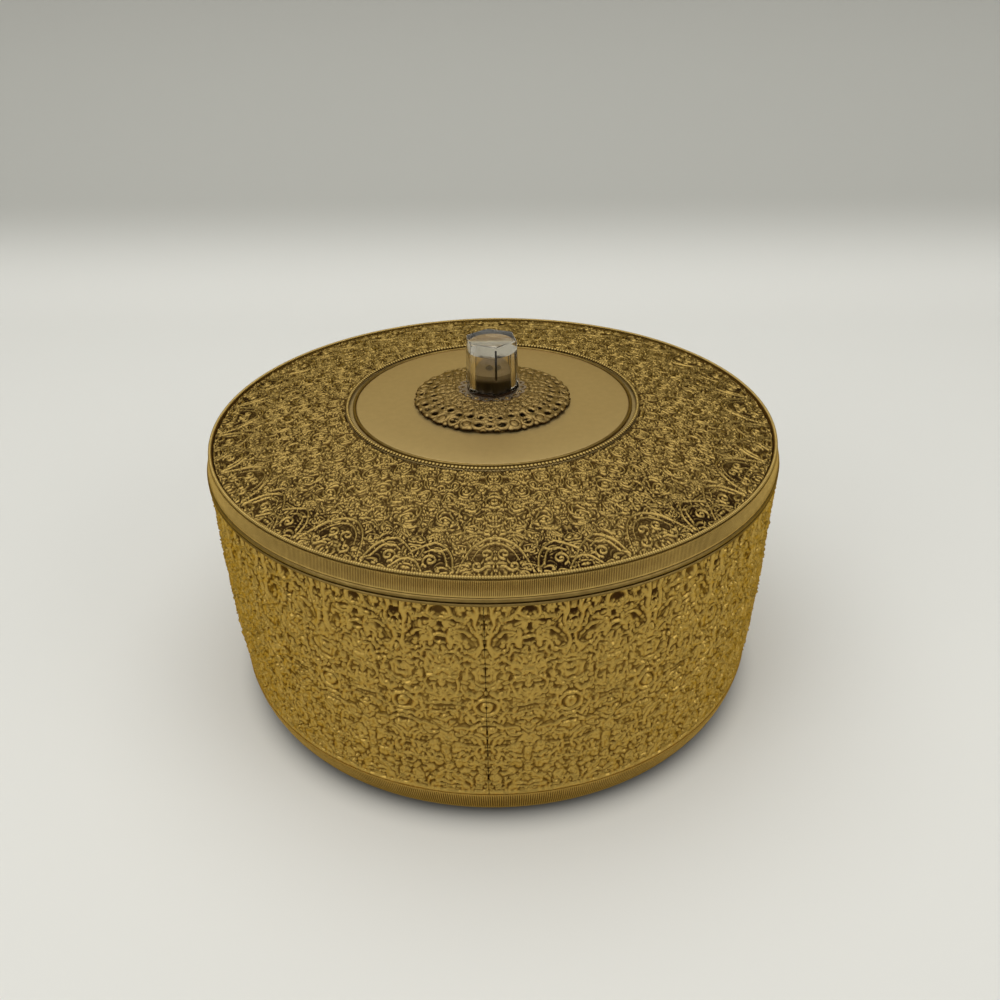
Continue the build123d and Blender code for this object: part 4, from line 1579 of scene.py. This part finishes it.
@dataclass
class Knob:
    """The clear hexagonal knob with a round hollow."""

    foot: float = 112.7
    height: float = 18.0
    bottom_radius: float = 10.3
    top_radius: float = 9.55
    bore: float = 7.6
    ceiling: float = 4.6
    turn: float = 11.3
    soft_edge: float = 0.45
    mark_width: float = 0.45
    mark_depth: float = 0.75
    mark_inset: float = 1.3
    mark_bottom: float = 118.5
    mark_top: float = 129.2

    def build(self, material: bpy.types.Material, mark: bpy.types.Material) -> None:
        """Makes the knob: a drafted hexagon with soft edges, bored from below.

        Args:
            material: the finish of the knob.
            mark: the finish of the line on its edge.
        """
        deselect_all()
        middle = self.foot + self.height / 2
        bpy.ops.mesh.primitive_cylinder_add(
            vertices=6, radius=self.bottom_radius * MM, depth=self.height * MM, location=(0, 0, middle * MM),
            rotation=(0, 0, math.radians(self.turn)),
        )
        knob = bpy.context.object
        bpy.ops.object.transform_apply(location=True, rotation=True, scale=True)
        for vertex in knob.data.vertices:
            if vertex.co.z > middle * MM:
                vertex.co.x *= self.top_radius / self.bottom_radius
                vertex.co.y *= self.top_radius / self.bottom_radius
        bevel = knob.modifiers.new("soft_edges", "BEVEL")
        bevel.width = self.soft_edge * MM
        bevel.segments = 3
        bpy.ops.object.modifier_apply(modifier="soft_edges")
        deep = self.height - self.ceiling
        bpy.ops.mesh.primitive_cylinder_add(
            vertices=96, radius=self.bore * MM, depth=2 * deep * MM, location=(0, 0, self.foot * MM)
        )
        core = bpy.context.object
        bpy.ops.object.transform_apply(location=True, rotation=True, scale=True)
        take_up(knob)
        cut = knob.modifiers.new("bore", "BOOLEAN")
        cut.operation = "DIFFERENCE"
        cut.object = core
        bpy.ops.object.modifier_apply(modifier="bore")
        bpy.data.objects.remove(core)
        bpy.ops.object.shade_smooth_by_angle(angle=math.radians(35.0))
        finish_piece(knob, "clear_knob", Body.LID, "knob", material)
        self.build_mark(mark)

    def build_mark(self, material: bpy.types.Material) -> None:
        """Makes the painted dark line down the knob's front edge: a thin upright black sliver inside the wall
        that stands in for the dark line refraction shows along the clear edge.

        Args:
            material: the finish.
        """
        deselect_all()
        reach = self.bottom_radius - self.mark_inset
        angle = math.radians(self.turn - 90.0)
        bpy.ops.mesh.primitive_cube_add(size=1.0)
        mark = bpy.context.object
        for vertex in mark.data.vertices:
            vertex.co.x = (self.mark_depth * vertex.co.x + reach) * MM
            vertex.co.y *= self.mark_width * MM
            vertex.co.z = (self.mark_bottom + (vertex.co.z + 0.5) * (self.mark_top - self.mark_bottom)) * MM
        mark.rotation_euler.z = angle
        bpy.ops.object.transform_apply(location=True, rotation=True, scale=True)
        finish_piece(mark, "knob_edge_line", Body.LID, "knob", material)


# The studio


@dataclass
class Studio:
    """Floor, backdrop, lamps and the camera at the photo's viewing angle."""

    eye: tuple[float, float, float] = (0.0, -300.03, 246.88)
    pitch: float = 31.39
    yaw: float = 0.42
    roll: float = -0.86
    seam_turn: float = 2.0
    lens_px: float = 900.0
    frame_px: float = 1000.0
    sensor: float = 36.0
    lamp_tone: RGB = (1.0, 0.99, 0.97)
    room_tone: RGB = (0.60, 0.60, 0.58)
    room_strength: float = 0.68
    def camera(self) -> None:
        """Places the camera."""
        lens = bpy.data.cameras.new("camera")
        lens.sensor_width = self.sensor
        lens.lens = self.sensor * self.lens_px / self.frame_px
        lens.clip_start = 0.01
        holder = bpy.data.objects.new("camera", lens)
        bpy.context.scene.collection.objects.link(holder)
        pitch, yaw, roll = (math.radians(v) for v in (self.pitch, self.yaw, self.roll))
        ahead = Vector((math.sin(yaw) * math.cos(pitch), math.cos(yaw) * math.cos(pitch), -math.sin(pitch)))
        side = ahead.cross(Vector((0, 0, 1))).normalized()
        up = side.cross(ahead)
        right = math.cos(roll) * side + math.sin(roll) * up
        top = -math.sin(roll) * side + math.cos(roll) * up
        turned = Matrix((right, top, -ahead)).transposed().to_4x4()
        around = Matrix.Rotation(math.radians(self.seam_turn), 4, "Z")
        holder.matrix_world = around @ Matrix.Translation(Vector(self.eye) * MM) @ turned
        bpy.context.scene.camera = holder

    def floor(self) -> None:
        """Makes the floor that sweeps up into the backdrop."""
        deselect_all()
        bpy.ops.mesh.primitive_plane_add(size=6.0, location=(0, 0, 0))
        sweep = bpy.context.object
        bpy.ops.object.mode_set(mode="EDIT")
        bpy.ops.mesh.select_all(action="DESELECT")
        bpy.ops.object.mode_set(mode="OBJECT")
        for edge in sweep.data.edges:
            edge.select = all(sweep.data.vertices[v].co.y > 0 for v in edge.vertices)
        bpy.ops.object.mode_set(mode="EDIT")
        bpy.ops.mesh.extrude_region_move(TRANSFORM_OT_translate={"value": (0, 0, 3.0)})
        bpy.ops.object.mode_set(mode="OBJECT")
        for vertex in sweep.data.vertices:
            if vertex.co.y > 0:
                vertex.co.y = 0.62
        bevel = sweep.modifiers.new("sweep", "BEVEL")
        bevel.width = 0.25
        bevel.segments = 16
        bpy.ops.object.modifier_apply(modifier="sweep")
        bpy.ops.object.shade_smooth()
        sweep.name = "floor"
        sweep.data.materials.append(PAPER.build())

    def lamp(self, name: str, place: tuple[float, float, float], size: float, watts: float) -> None:
        """Adds a soft round lamp that faces the box.

        Args:
            name: the lamp's name.
            place: where it hangs, in metres.
            size: how wide it is, in metres.
            watts: its strength.
        """
        light = bpy.data.lights.new(name, "AREA")
        light.shape = "DISK"
        light.size = size
        light.energy = watts
        light.color = self.lamp_tone
        holder = bpy.data.objects.new(name, light)
        bpy.context.scene.collection.objects.link(holder)
        holder.location = place
        holder.rotation_mode = "QUATERNION"
        holder.rotation_quaternion = (Vector((0, 0, 0.05)) - Vector(place)).to_track_quat("-Z", "Y")

    def light(self) -> None:
        """Adds the lamps and the even room light."""
        self.lamp("overhead", (-0.1, -0.05, 1.3), 1.7, 12.0)
        self.lamp("front_left", (-1.0, -0.9, 0.9), 0.9, 3.4)
        self.lamp("front_right", (1.1, -0.6, 0.8), 0.9, 3.2)
        world = bpy.data.worlds.new("room")
        bpy.context.scene.world = world
        world.use_nodes = True
        room = world.node_tree.nodes["Background"].inputs
        room["Color"].default_value = (*self.room_tone, 1)
        room["Strength"].default_value = self.room_strength
        bpy.context.scene.view_settings.view_transform = "Standard"

    def build(self) -> None:
        """Builds the whole studio."""
        self.camera()
        self.floor()
        self.light()


def dress_frame(frame: dict) -> None:
    """Gives the frame's own nodes that stay in view their finishes.
    """
    finishes = {
        INSIDE_GILT: ("inner_bowl", "body_rim_ring", "lid_guide_collar", "lid_shell"),
        FOOT_PAINTED_SHADE: ("base_pan",),
        DULL_BRASS: ("seam_strip", "knob_seat"),
        PLUG_BRASS: ("knob_insert",),
        LOOP_GILT: ("rosette_collar",),
        STEEL: ("knob_screw", "screw_washer"),
    }
    for finish, names in finishes.items():
        material = finish.build()
        for name in names:
            node = frame["nodes"][name]
            node.data.materials.clear()
            node.data.materials.append(material)


def main() -> None:
    """Builds the looks in order."""
    logging.basicConfig(level=logging.INFO, format="%(name)s %(message)s")
    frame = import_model()
    Studio().build()
    trim = TRIM_GILT.build()
    reeds = REED_GILT.build()
    box = BoxSkin()
    box.build_wrap(BODY_GILT.build())
    box.build_trim(trim, reeds)
    lid = LidSkin()
    lid.build_cone(LID_GILT.build())
    lid.build_trim(trim, reeds, BEAD_GILT.build())
    lid.build_disc(DISC_GILT.build())
    Openwork().build(OPENWORK_GILT.build())
    Knob().build(CLEAR.build(), PAINTED_REFRACTION_LINE.build())
    dress_frame(frame)


if __name__ == "__main__":
    main()
